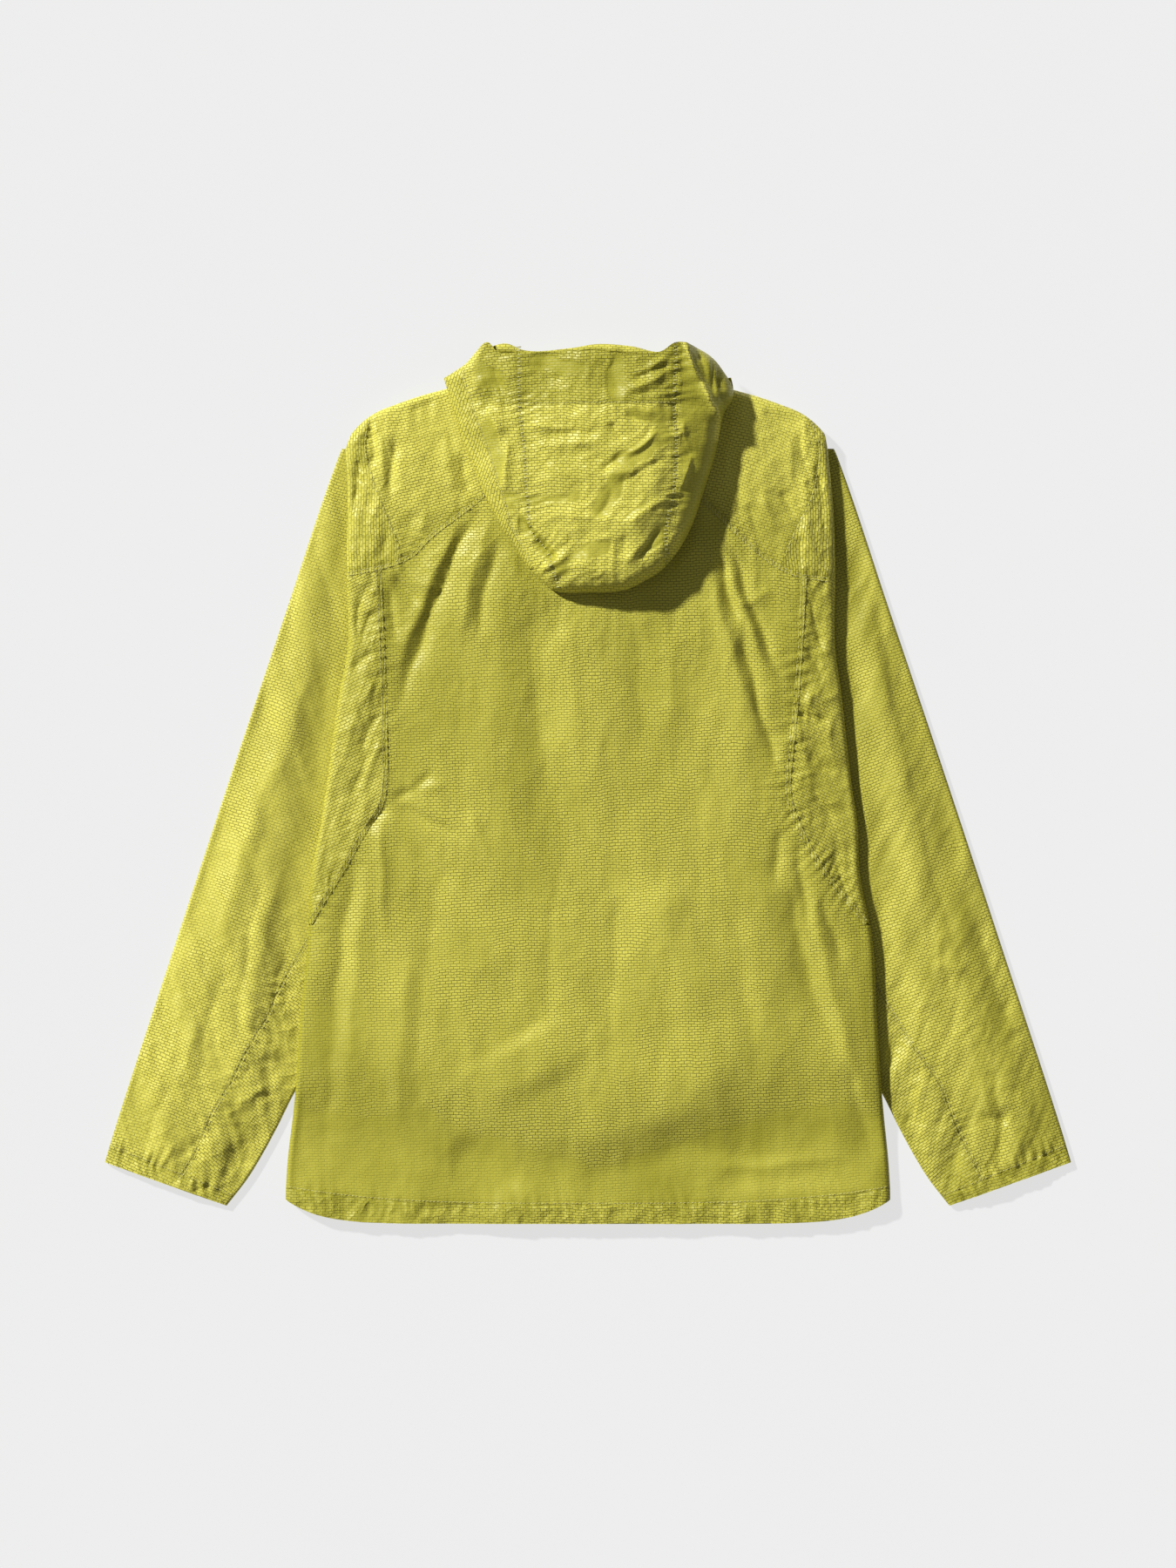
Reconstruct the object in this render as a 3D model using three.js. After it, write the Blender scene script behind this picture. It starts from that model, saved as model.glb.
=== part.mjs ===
// A hooded windbreaker jacket laid flat on its front, so that its back shows.
// Millimetres. +Z is up, +Y runs towards the hood and +X to the right as seen from above.
// The origin is in the middle of the jacket's outline, on the surface that it lies on.
import * as THREE from 'three';

// Driving dimensions
const CLOTH = 1.2;                 // thickness of each wall
const SEAM_GAP = 0.3;              // between two pieces at a seam or a fold
const LAY_GAP = 0.6;               // between layers that lie on each other
const BODY_FOLD = 5;               // radius of the body's side and shoulder folds
const SLEEVE_FOLD = 2.75;          // radius of the sleeve's folds
const BODY_PUFF = 9;               // rise of the back from its edges to its middle
const PUFF_REACH = 70;             // distance over which the back rises
const SLEEVE_PUFF = 8;             // rise of a sleeve clear of the body
const CUFF_PUFF = 4;               // rise that is left at the cuff
const HOOD_PUFF = 20;              // rise of the hood from its edge to its crown
const HOOD_REACH = 32;
const COLLAR_CREST = 18;           // height at which the collar turns over
const COLLAR_FOLD = 16;
const COLLAR_LIP_FOLD = 6;
const COLLAR_LIP_TOP = 24;
const COLLAR_LIP_DEPTH = 17;
const COLLAR_LIP_HALF = 68;
const ZIP_HALF = 7;                // half the width of the zip's tape
const SLIDER_HALF = 4;
const SLIDER_THICK = 2.4;
const SLIDER_FROM = 3;             // from the collar's top edge
const SLIDER_TO = 7;
const HEM_Y = -378.83;             // bottom edge on the centre line
const HEM_SEAM_Y = -362.6;         // hem stitch line on the centre line
const HEM_HALF = 262;
const NECK_Y = 262;                // front neckline on the centre line
const NECK_POINT = [95, 348];      // where neckline and shoulder meet
const NECK_SEAM_END = 87;           // outer end of the front neck seam
const BACK_NECK_Y = 320;
const BACK_NECK_HALF = 50;
const SLEEVE_TOP = 289;
const SIDE_PANEL_FROM = -116;      // lower end of the side panel's seam
const SIDE_PANEL_FOLD_FROM = -122; // and of its stretch of the side fold
const FOLD_LEAST = 9;              // narrowest half width that the coarse walls can carry
const LIFT_RUN = 16;               // width over which a front rises onto the sleeve's edge
const LIFT_CLEAR = 4;              // by which that rise ends before the sleeve begins
const PUFF_CLEAR = 8;              // from the body's edge to where a sleeve begins to rise
const BODY_COLUMNS = 26;           // even steps across the back

const CLOTH_COLOUR = 0xc9c64f;
const SEAM_COLOUR = 0xb5b240;
const ZIP_COLOUR = 0xa8a53a;

function rows(names, values) {
  return values.map((row) => Object.fromEntries(names.map((name, i) => [name, row[i]])));
}

// Half widths of the body between its side folds
const SIDE_FOLDS = rows(['y', 'left', 'right'], [
  [-380, 262, 262], [-326, 259, 259], [-266, 252, 253], [-206, 248, 249], [-135, 241, 245],
  [-77, 238, 234], [-34, 230, 232], [0, 225, 227], [79, 214, 218], [116, 207, 213],
  [188, 208, 213], [240, 207, 211], [292, 209, 206],
]);

// Top of the shoulders, then the line above the neck that keeps the neck free of rounding
const SHOULDER = rows(['x', 'y'], [
  [0, 420], [60, 380], [95, 348], [124, 340], [145, 334], [165, 327], [184, 319], [196, 310],
  [204, 301], [209, 293],
]);

// Seam between the back and each side panel, as distance from the centre line
const SIDE_SEAM = rows(['y', 'left', 'right'], [
  [-135, 248, 248], [-121, 238, 238], [-92, 220, 213], [-69, 206, 196], [-41, 190.5, 181],
  [-18, 176, 172], [-4, 173, 170], [39, 172.5, 173.5], [93, 174, 178.5], [142, 176, 181.5],
  [187, 178, 184],
]);

// Seam below each yoke, from the side fold up to the neck
const YOKE_SEAM = rows(['x', 'left', 'right'], [
  [50, 320, 320], [66, 283, 284], [92, 249, 254], [116, 230, 230], [140, 211, 207],
  [150, 200, 198.5], [166, 191.6, 187.5], [180, 187.5, 181.5], [208, 182, 177],
]);

const ARMHOLE = rows(['y', 'left', 'right'], [
  [196, 160, 168], [211, 164, 174], [244, 177.5, 190], [266, 185, 196], [290, 190.5, 198],
  [314, 187.5, 190],
]);

// Outer and inner edges of a sleeve, as distance from the centre line
const SLEEVE_OUTER = rows(['y', 'x'], [
  [-345, 422], [-326, 416.5], [-296, 407.5], [-146, 358.5], [4, 309], [154, 258.5], [274, 218],
  [289, 212], [300, 205],
]);
const SLEEVE_INNER = rows(['y', 'x'], [
  [-363.5, 311.5], [-341, 294], [-326, 284.5], [-296, 268], [-268, 254], [-240, 237], [-206, 222],
  [-135, 212], [-77, 205], [0, 195], [116, 178], [188, 180], [290, 178],
]);
const SLEEVE_SEAM = rows(['y', 'left', 'right'], [
  [-342, 354, 341], [-323, 341, 331], [-301, 331, 320], [-280, 322, 311.5], [-257, 307.5, 302],
  [-230, 294, 283], [-202, 277.5, 265], [-177, 266, 250], [-139, 244, 229], [-90, 216, 216],
]);
// Ridge of a sleeve's back, along which its wall is parted so that each half bends one way only
const SLEEVE_RIDGE = rows(['y', 'x'], [
  [-342, 374], [-264, 333], [-200, 316], [-90, 291], [0, 271], [154, 236], [289, 198],
]);
const CUFF_SEAM = { outer: [411.5, -313], inner: [306.5, -355.5] };
const CUFF_EDGE = { outer: [416.5, -326], inner: [311.5, -363.5] };

// Outline of the hood
const HOOD_SIDES = rows(['y', 'left', 'right'], [
  [166, -30, 32], [175, -41, 50], [184, -50, 64], [201, -61, 78], [219, -73.5, 88],
  [247, -88, 98], [286, -103.5, 110], [319, -115.5, 117], [332, -119, 124.5], [349, -124, 122],
]);
const HOOD_BOTTOM = rows(['x', 'y'], [
  [-61, 201], [-50, 184], [-41, 175], [-30, 166.5], [0, 164.5], [32, 166.5], [50, 175], [64, 184],
  [78, 201],
]);
const HOOD_TOP = rows(['x', 'y'], [
  [-124, 349], [-107, 360], [-86, 379], [-78, 371], [-54, 370], [0, 371], [62, 370], [75, 378],
  [88, 376.5], [109, 364], [122, 346],
]);
const HOOD_SEAMS = rows(['y', 'left', 'right'], [
  [168, -25, 67], [194, -32.5, 67.5], [217, -48.5, 66.5], [247, -52, 73], [291, -55, 76],
  [318, -58.5, 74], [371, -59, 75.5], [380, -59, 75.5],
]);
const HOOD_BAND_WIDTH = rows(['y', 'width'], [[184, 4], [215, 7], [250, 15], [360, 16]]);
const BRIM_SEAM_Y = 325;
const BRIM_EDGE_Y = 370.5;

const COLLAR_TOP = rows(['x', 'y'], [
  [-90, 374], [-71, 379], [-54, 373], [-15, 375], [8, 378.5], [38, 376.5], [63, 372], [77, 379],
  [88, 376],
]);

// The back's largest folds: from, to, half width and height, a trough where that is negative
const BACK_FOLDS = rows(['x0', 'y0', 'x1', 'y1', 'width', 'height'], [
  [-101, 232, -167, 54, 7, -5], [-113, 225, -165, 85, 8, 3], [-75, 225, -95, 124, 7, -3],
  [-49, 157, -26, -45, 18, -3], [-15, 150, -7, 0, 22, 3], [110, 202, 169, -2, 6, -4],
  [103, 195, 154, 30, 9, 3.5], [119, 195, 162, 85, 7, 3], [-197, -67, -217, -172, 8, -3.5],
  [-186, -70, -203, -185, 9, 2.5], [172, -75, 224, -249, 12, -4], [224, -249, 253, -337, 12, -3],
  [191, -75, 250, -300, 9, 2], [-112, -300, -49, -352, 16, -2.5], [49, -292, 191, -322, 22, -3],
  [-56, -210, -26, -262, 34, 3], [64, -75, 94, -210, 34, 2.5], [-175, 313, -175, 270, 6, -2.5],
  [-118, 319, -100, 244, 8, -3], [183, 301, 187, 268, 6, -2.5], [-185, 60, -200, 10, 8, -2.5],
]);

const SIDES = [
  { name: 'left', sign: -1 },
  { name: 'right', sign: 1 },
];
const CLOTH_MATERIAL = { colour: CLOTH_COLOUR, roughness: 0.55 };
const SEAM_MATERIAL = { colour: SEAM_COLOUR, roughness: 0.6 };
const ZIP_MATERIAL = { colour: ZIP_COLOUR, roughness: 0.4 };

const clamp = (t) => Math.min(1, Math.max(0, t));
const smooth = (t) => clamp(t) ** 2 * (3 - 2 * clamp(t));
const mix = (a, b, t) => a + (b - a) * t;
const mixPoint = (a, b, t) => [mix(a[0], b[0], t), mix(a[1], b[1], t)];
const mirror = (side, [x, y]) => [side.sign * x, y];

// A smooth curve through the rows of a table, level beyond its ends.
function curveOf(table, key, name) {
  const sorted = [...table].sort((a, b) => a[key] - b[key]);
  const at = sorted.map((row) => row[key]);
  const to = sorted.map((row) => row[name]);
  const rise = to.slice(1).map((value, i) => (value - to[i]) / (at[i + 1] - at[i]));
  const slope = to.map((_, i) => {
    if (i === 0) return rise[0];
    if (i === to.length - 1) return rise[i - 1];
    return (rise[i - 1] + rise[i]) / 2;
  });
  return (value) => {
    const t = Math.min(at[at.length - 1], Math.max(at[0], value));
    const i = Math.min(at.length - 2, Math.max(0, at.findIndex((edge) => edge > t) - 1));
    const k = t === at[at.length - 1] ? at.length - 2 : i;
    const width = at[k + 1] - at[k];
    const s = (t - at[k]) / width;
    const first = to[k] * (1 + 2 * s) * (1 - s) ** 2 + slope[k] * width * s * (1 - s) ** 2;
    const last = to[k + 1] * s * s * (3 - 2 * s) - slope[k + 1] * width * s * s * (1 - s);
    return first + last;
  };
}

// Turns a distance measured along one axis into the distance square to the curve.
function squareTo(curve) {
  const step = 2;
  return (value) => 1 / Math.hypot(1, (curve(value + step) - curve(value - step)) / (2 * step));
}

const sideFold = { left: curveOf(SIDE_FOLDS, 'y', 'left'), right: curveOf(SIDE_FOLDS, 'y', 'right') };
const sideSeam = { left: curveOf(SIDE_SEAM, 'y', 'left'), right: curveOf(SIDE_SEAM, 'y', 'right') };
const yokeSeam = { left: curveOf(YOKE_SEAM, 'x', 'left'), right: curveOf(YOKE_SEAM, 'x', 'right') };
const armhole = { left: curveOf(ARMHOLE, 'y', 'left'), right: curveOf(ARMHOLE, 'y', 'right') };
const sleeveSeam = {
  left: curveOf(SLEEVE_SEAM, 'y', 'left'),
  right: curveOf(SLEEVE_SEAM, 'y', 'right'),
};
const shoulder = curveOf(SHOULDER, 'x', 'y');
const sleeveOuter = curveOf(SLEEVE_OUTER, 'y', 'x');
const sleeveInner = curveOf(SLEEVE_INNER, 'y', 'x');
const sleeveRidge = curveOf(SLEEVE_RIDGE, 'y', 'x');
const hoodSide = { left: curveOf(HOOD_SIDES, 'y', 'left'), right: curveOf(HOOD_SIDES, 'y', 'right') };
const hoodSeam = { left: curveOf(HOOD_SEAMS, 'y', 'left'), right: curveOf(HOOD_SEAMS, 'y', 'right') };
const hoodBottom = curveOf(HOOD_BOTTOM, 'x', 'y');
const hoodTop = curveOf(HOOD_TOP, 'x', 'y');
const hoodBandWidth = curveOf(HOOD_BAND_WIDTH, 'y', 'width');
const collarTop = curveOf(COLLAR_TOP, 'x', 'y');
const hemEdge = (x) => HEM_Y + 22 * Math.abs(x / HEM_HALF) ** 9;
const hemSeam = (x) => HEM_SEAM_Y + 15 * Math.abs(x / HEM_HALF) ** 3.3;
const neckline = (x) => NECK_Y + 84 * Math.abs(x / NECK_POINT[0]) ** 2.2;

const squareShoulder = squareTo(shoulder);
const squareOuter = squareTo(sleeveOuter);
const squareInner = squareTo(sleeveInner);
const squareHood = { left: squareTo(hoodSide.left), right: squareTo(hoodSide.right) };
const squareBottom = squareTo(hoodBottom);
const squareTop = squareTo(hoodTop);

const nameOf = (x) => (x < 0 ? 'left' : 'right');

// A quarter of a round: 0 at the fold and 1 from the radius inwards.
const roll = (inset, radius) => Math.sqrt(1 - (1 - clamp(inset / radius)) ** 2);

function foldsAt(table, x, y) {
  let height = 0;
  for (const fold of table) {
    const run = [fold.x1 - fold.x0, fold.y1 - fold.y0];
    const length = Math.hypot(...run);
    const from = [x - fold.x0, y - fold.y0];
    const along = (from[0] * run[0] + from[1] * run[1]) / length ** 2;
    const aside = (from[0] * run[1] - from[1] * run[0]) / length;
    const ends = smooth(along / 0.3) * smooth((1 - along) / 0.3);
    height += fold.height * ends * Math.exp(-((aside / Math.max(fold.width, FOLD_LEAST)) ** 2));
  }
  return height;
}

// Distances inwards from the folded edges
function bodyInset(x, y) {
  const side = sideFold[nameOf(x)](y) - Math.abs(x);
  const top = (shoulder(Math.abs(x)) - y) * squareShoulder(Math.abs(x));
  return Math.min(side, top);
}

function sleeveInset(x, y) {
  const outer = (sleeveOuter(y) - Math.abs(x)) * squareOuter(y);
  const inner = (Math.abs(x) - sleeveInner(y)) * squareInner(y);
  return Math.min(outer, inner);
}

function hoodInset(x, y) {
  const left = (x - hoodSide.left(y)) * squareHood.left(y);
  const right = (hoodSide.right(y) - x) * squareHood.right(y);
  const bottom = (y - hoodBottom(x)) * squareBottom(x);
  return Math.min(left, right, bottom);
}

// The hood's top edge is rounded only towards its two corners.
function hoodUpperInset(x, y) {
  const top = (hoodTop(x) - y) * squareTop(x) + 30 * smooth((95 - Math.abs(x)) / 30);
  return Math.min(hoodInset(x, y), top);
}

// The body's side edges lie on the sleeves, down to where the sleeves leave them.
const SLEEVE_LEAVES_Y = -264;
const BODY_LIFT = 2 * SLEEVE_FOLD + LAY_GAP;
const liftAt = (y) => BODY_LIFT * (1 - smooth((SLEEVE_LEAVES_Y - y) / 36));
const hemShare = (y) => mix(0.15, 1, smooth((y + 380) / 140));

function bodyCrest(x, y) {
  return BODY_FOLD + liftAt(y) * smooth((Math.abs(x) - 90) / 80);
}

function backHeight(x, y) {
  const inset = Math.max(0, bodyInset(x, y));
  const puff = BODY_PUFF * (1 - Math.exp(-inset / PUFF_REACH)) * hemShare(y);
  const bare = 1 - smooth((hoodInset(x, y) + 10) / 10);
  const folds = foldsAt(BACK_FOLDS, x, y) * smooth(inset / 12) * bare;
  return 2 * BODY_FOLD + liftAt(y) + puff + folds;
}

function frontHeight(x, y) {
  return liftAt(y) * smooth((Math.abs(x) - sleeveInner(y) + LIFT_CLEAR + LIFT_RUN) / LIFT_RUN);
}

function sleeveHeight(x, y) {
  const inner = Math.abs(x) - sleeveInner(y);
  const hidden = Math.max(0, sideFold[nameOf(x)](y) - sleeveInner(y));
  const outer = sleeveOuter(y) - Math.abs(x);
  const puff = mix(CUFF_PUFF, SLEEVE_PUFF, smooth((y + 360) / 120));
  return 2 * SLEEVE_FOLD + puff * smooth((inner - hidden - PUFF_CLEAR) / 40) * smooth(outer / 45);
}

const hoodTurn = (x) => smooth((x + 60) / 120);
const hoodFold = (x) => mix(5, 12, hoodTurn(x));
const hoodBase = (x, y) => backHeight(x, y) + LAY_GAP;
const hoodCrest = (x, y) => hoodBase(x, y) + mix(3, 12, hoodTurn(x));

function hoodHeight(x, y) {
  const inset = Math.max(0, hoodInset(x, y));
  const puff = HOOD_PUFF * (1 - Math.exp(-inset / HOOD_REACH));
  return hoodCrest(x, y) + hoodFold(x) + puff;
}

// A form gives the height of a wall's outer face over the plan, and which way that face looks.
const always = (value) => () => value;
const FORMS = {
  back: { up: 1, inset: bodyInset, fold: always(BODY_FOLD), crest: bodyCrest, height: backHeight },
  front: { up: -1, inset: bodyInset, fold: always(BODY_FOLD), crest: bodyCrest, height: frontHeight },
  sleeveTop: {
    up: 1, inset: sleeveInset, fold: always(SLEEVE_FOLD), crest: always(SLEEVE_FOLD),
    height: sleeveHeight,
  },
  sleeveUnder: {
    up: -1, inset: sleeveInset, fold: always(SLEEVE_FOLD), crest: always(SLEEVE_FOLD),
    height: always(0),
  },
  hood: { up: 1, inset: hoodUpperInset, fold: hoodFold, crest: hoodCrest, height: hoodHeight },
  hoodUnder: { up: -1, inset: hoodInset, fold: hoodFold, crest: hoodCrest, height: hoodBase },
  collar: {
    up: -1, inset: (x, y) => collarTop(x) - y, fold: always(COLLAR_FOLD),
    crest: always(COLLAR_CREST), height: always(0),
  },
  collarLip: {
    up: 1, inset: (x, y) => collarTop(x) - y, fold: always(COLLAR_LIP_FOLD),
    crest: always(COLLAR_CREST), height: always(COLLAR_LIP_TOP),
  },
};

function gradient(field, x, y) {
  const step = 0.8;
  return [
    (field(x + step, y) - field(x - step, y)) / (2 * step),
    (field(x, y + step) - field(x, y - step)) / (2 * step),
  ];
}

// The outer point over a place in the plan, moved out along the face by some distance.
function pointOn(form, x, y, out = 0) {
  const radius = form.fold(x, y);
  const inset = form.inset(x, y);
  const turn = roll(inset, radius);
  const crest = form.crest(x, y) + (form.up * SEAM_GAP) / 2;
  const rise = form.height(x, y) - crest;
  const edge = gradient(form.inset, x, y);
  const tilt = gradient(form.height, x, y);
  const flat = (1 - clamp(inset / radius)) / radius;
  const steep = (form.up * turn) / Math.max(1, Math.abs(rise));
  const normal = new THREE.Vector3(
    -edge[0] * flat - tilt[0] * steep,
    -edge[1] * flat - tilt[1] * steep,
    steep,
  ).normalize();
  return new THREE.Vector3(x, y, crest + rise * turn).addScaledVector(normal, out);
}

// Fractions across a wall: given distances in from each side, and even steps between them.
function across(width, fromStart, count, fromEnd) {
  const reach = Math.max(...fromStart, 0) + Math.max(...fromEnd, 0);
  const squeeze = Math.min(1, (0.7 * width) / Math.max(reach, 1e-6));
  const start = fromStart.map((d) => (d * squeeze) / width);
  const end = fromEnd.map((d) => 1 - (d * squeeze) / width).reverse();
  const low = start[start.length - 1];
  const middle = Array.from({ length: count - 1 }, (_, i) => mix(low, end[0], (i + 1) / count));
  return [...start, ...middle, ...end];
}

// Distances that follow a fold's quarter round in steps of 30 degrees
const overFold = (radius) => [0, 0.134 * radius, 0.5 * radius, radius];
const EDGE = [0];

// Plan points of a wall between two edges, whose ends may follow curves.
function planOf({ start, end, columns, bottom, top }) {
  const last = start.length - 1;
  return start.map((from, j) => {
    const to = end[j];
    const v = j / last;
    const width = Math.hypot(to[0] - from[0], to[1] - from[1]);
    return columns(width, v, j).map((u) => {
      const point = mixPoint(from, to, u);
      for (const [curve, share, row] of [[bottom, 1 - v, 0], [top, v, last]]) {
        if (!curve) continue;
        const straight = mixPoint(start[row], end[row], u);
        const bent = curve(u);
        point[0] += share * (bent[0] - straight[0]);
        point[1] += share * (bent[1] - straight[1]);
      }
      return point;
    });
  });
}

// Moves the points of each seamed edge in by half the gap. An edge along a fold stays on it.
function easeEdges(plan, form) {
  const half = SEAM_GAP / 2;
  const lastRow = plan.length - 1;
  const lastColumn = plan[0].length - 1;
  const moved = plan.map((row) => row.map((point) => [...point]));
  const onFold = (point) => form.inset(...point) < half;
  const ease = (j, i, before, after, inner) => {
    const [x, y] = plan[j][i];
    if ([plan[j][i], before, after].every(onFold)) return;
    const along = [after[0] - before[0], after[1] - before[1]];
    const length = Math.hypot(...along);
    const square = [-along[1] / length, along[0] / length];
    const facing = square[0] * (inner[0] - x) + square[1] * (inner[1] - y);
    moved[j][i][0] += Math.sign(facing) * half * square[0];
    moved[j][i][1] += Math.sign(facing) * half * square[1];
  };
  for (let j = 0; j <= lastRow; j += 1) {
    const down = Math.max(0, j - 1);
    const up = Math.min(lastRow, j + 1);
    ease(j, 0, plan[down][0], plan[up][0], plan[j][1]);
    ease(j, lastColumn, plan[down][lastColumn], plan[up][lastColumn], plan[j][lastColumn - 1]);
  }
  for (let i = 0; i <= lastColumn; i += 1) {
    const back = Math.max(0, i - 1);
    const on = Math.min(lastColumn, i + 1);
    ease(0, i, plan[0][back], plan[0][on], plan[1][i]);
    ease(lastRow, i, plan[lastRow][back], plan[lastRow][on], plan[lastRow - 1][i]);
  }
  return moved;
}

// Closes two grids of points, an outer and an inner face, into one solid facing out.
function shellOf(outer, inner) {
  const height = outer.length;
  const width = outer[0].length;
  const points = [...outer.flat(), ...inner.flat()];
  const outerAt = (j, i) => j * width + i;
  const innerAt = (j, i) => height * width + j * width + i;
  const triangles = [];
  const quad = (a, b, c, d) => triangles.push(a, b, c, a, c, d);
  for (let j = 0; j + 1 < height; j += 1) {
    for (let i = 0; i + 1 < width; i += 1) {
      quad(outerAt(j, i), outerAt(j, i + 1), outerAt(j + 1, i + 1), outerAt(j + 1, i));
      quad(innerAt(j, i), innerAt(j + 1, i), innerAt(j + 1, i + 1), innerAt(j, i + 1));
    }
  }
  for (let i = 0; i + 1 < width; i += 1) {
    quad(innerAt(0, i), innerAt(0, i + 1), outerAt(0, i + 1), outerAt(0, i));
    const j = height - 1;
    quad(outerAt(j, i), outerAt(j, i + 1), innerAt(j, i + 1), innerAt(j, i));
  }
  for (let j = 0; j + 1 < height; j += 1) {
    quad(outerAt(j, 0), outerAt(j + 1, 0), innerAt(j + 1, 0), innerAt(j, 0));
    const i = width - 1;
    quad(innerAt(j, i), innerAt(j + 1, i), outerAt(j + 1, i), outerAt(j, i));
  }
  const geometry = new THREE.BufferGeometry();
  if (signedVolume(points, triangles) < 0) triangles.reverse();
  geometry.setAttribute('position', new THREE.Float32BufferAttribute(
    points.flatMap((p) => [p.x, p.y, p.z]), 3));
  geometry.setIndex(triangles);
  geometry.computeVertexNormals();
  return geometry;
}

function signedVolume(points, triangles) {
  let volume = 0;
  for (let k = 0; k < triangles.length; k += 3) {
    const [a, b, c] = [points[triangles[k]], points[triangles[k + 1]], points[triangles[k + 2]]];
    volume += a.dot(b.clone().cross(c)) / 6;
  }
  return volume;
}

const jacket = new THREE.Group();

function addWall(name, form, spec, look = CLOTH_MATERIAL, from = 0, thick = CLOTH) {
  const plan = easeEdges(planOf(spec), form);
  const outer = plan.map((row) => row.map(([x, y]) => pointOn(form, x, y, from)));
  const inner = plan.map((row) => row.map(([x, y]) => pointOn(form, x, y, from - thick)));
  const material = new THREE.MeshStandardMaterial({
    color: look.colour, roughness: look.roughness, metalness: 0,
  });
  const mesh = new THREE.Mesh(shellOf(outer, inner), material);
  mesh.name = name;
  jacket.add(mesh);
}

const steps = (from, to, count) => Array.from({ length: count + 1 }, (_, i) => mix(from, to, i / count));

// Stations that two pieces share along their seams and folds, from the hem up
const LOW_ROWS = 8;
const SIDE_ROWS = 9;
const HEAD_ROWS = 6;
const YOKE_ROWS = 7;
const yokeStart = { left: SIDE_SEAM.at(-1).left, right: SIDE_SEAM.at(-1).right };
const armholeStart = { left: ARMHOLE[0].left, right: ARMHOLE[0].right };
const headTop = { left: ARMHOLE.at(-1).left, right: ARMHOLE.at(-1).right };

function stationsOf(side) {
  const { name } = side;
  const put = (points) => points.map((point) => mirror(side, point));
  const fold = (from, to, count) => steps(from, to, count).map((y) => [sideFold[name](y), y]);
  const hemEnd = sideFold[name](-348);
  const low = [[hemEnd, hemSeam(hemEnd)], ...fold(-330, SIDE_PANEL_FOLD_FROM, LOW_ROWS)];
  const beside = fold(SIDE_PANEL_FOLD_FROM, yokeSeam[name](208), SIDE_ROWS);
  const corner = fold(yokeSeam[name](208), 288, HEAD_ROWS - 2);
  const overShoulder = steps(204, headTop[name] + 4, HEAD_ROWS - 2).map((x) => [x, shoulder(x)]);
  const ridge = steps(headTop[name], NECK_POINT[0], YOKE_ROWS).map((x) => [x, shoulder(x)]);
  const seam = steps(SIDE_PANEL_FROM, yokeSeam[name](yokeStart[name]), SIDE_ROWS)
    .map((y) => [sideSeam[name](y), y]);
  const yokeLow = steps(yokeStart[name], armholeStart[name], 3).map((x) => [x, yokeSeam[name](x)]);
  const yoke = steps(armholeStart[name], BACK_NECK_HALF, YOKE_ROWS).map((x) => [x, yokeSeam[name](x)]);
  return {
    low: put(low), side: put(beside), head: put([...corner, ...overShoulder]), ridge: put(ridge),
    seam: put(seam), yokeLow: put(yokeLow), yoke: put(yoke),
  };
}

const stations = Object.fromEntries(SIDES.map((side) => [side.name, stationsOf(side)]));
const join = (...parts) => parts.reduce((all, part) => [...all, ...part.slice(all.length ? 1 : 0)], []);
const overX = (from, to, curve) => (u) => [mix(from, to, u), curve(mix(from, to, u))];

function addBack() {
  const edge = (name) => {
    const part = stations[name];
    return [...part.low, ...join(part.seam, part.yokeLow, part.yoke)];
  };
  const start = edge('left');
  const end = edge('right');
  const columns = (width) => across(width, overFold(BODY_FOLD), BODY_COLUMNS, overFold(BODY_FOLD));
  addWall('back_panel', FORMS.back, {
    start, end, columns, bottom: overX(start[0][0], end[0][0], hemSeam),
  });
  const hemStart = [start[0][0], hemEdge(start[0][0])];
  const hemEnd = [end[0][0], hemEdge(end[0][0])];
  addWall('hem_back', FORMS.back, {
    start: [hemStart, start[0]], end: [hemEnd, end[0]], columns,
    bottom: overX(hemStart[0], hemEnd[0], hemEdge),
    top: overX(start[0][0], end[0][0], hemSeam),
  }, SEAM_MATERIAL);
}

function addUpperSide(side) {
  const { name, sign } = side;
  const part = stations[name];
  const yokeEdge = (x) => yokeSeam[name](Math.abs(x));
  const toFold = (count) => (width) => across(width, EDGE, count, overFold(BODY_FOLD));
  const clearCorner = ([[x, y], ...rest]) => [[x, y + 3 * SEAM_GAP], ...rest];
  addWall(`side_panel_${name}`, FORMS.back, {
    start: clearCorner(part.seam), end: clearCorner(part.side), columns: toFold(3),
    top: overX(part.seam.at(-1)[0], part.side.at(-1)[0], yokeEdge),
  });
  const armholeCurve = (u) => {
    const y = mix(part.yoke[0][1], part.ridge[0][1], u);
    return [sign * armhole[name](y), y];
  };
  addWall(`yoke_${name}`, FORMS.back, {
    start: part.yoke, end: part.ridge, columns: toFold(HEAD_ROWS), bottom: armholeCurve,
  });
  const armholeLength = Math.hypot(
    part.ridge[0][0] - part.yoke[0][0], part.ridge[0][1] - part.yoke[0][1]);
  addWall(`sleeve_head_${name}`, FORMS.back, {
    start: toFold(HEAD_ROWS)(armholeLength).map(armholeCurve),
    end: part.head, columns: toFold(4),
    bottom: overX(part.yoke[0][0], part.head[0][0], yokeEdge),
    top: overX(part.ridge[0][0], part.head.at(-1)[0], (x) => shoulder(Math.abs(x))),
  });
}

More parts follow.
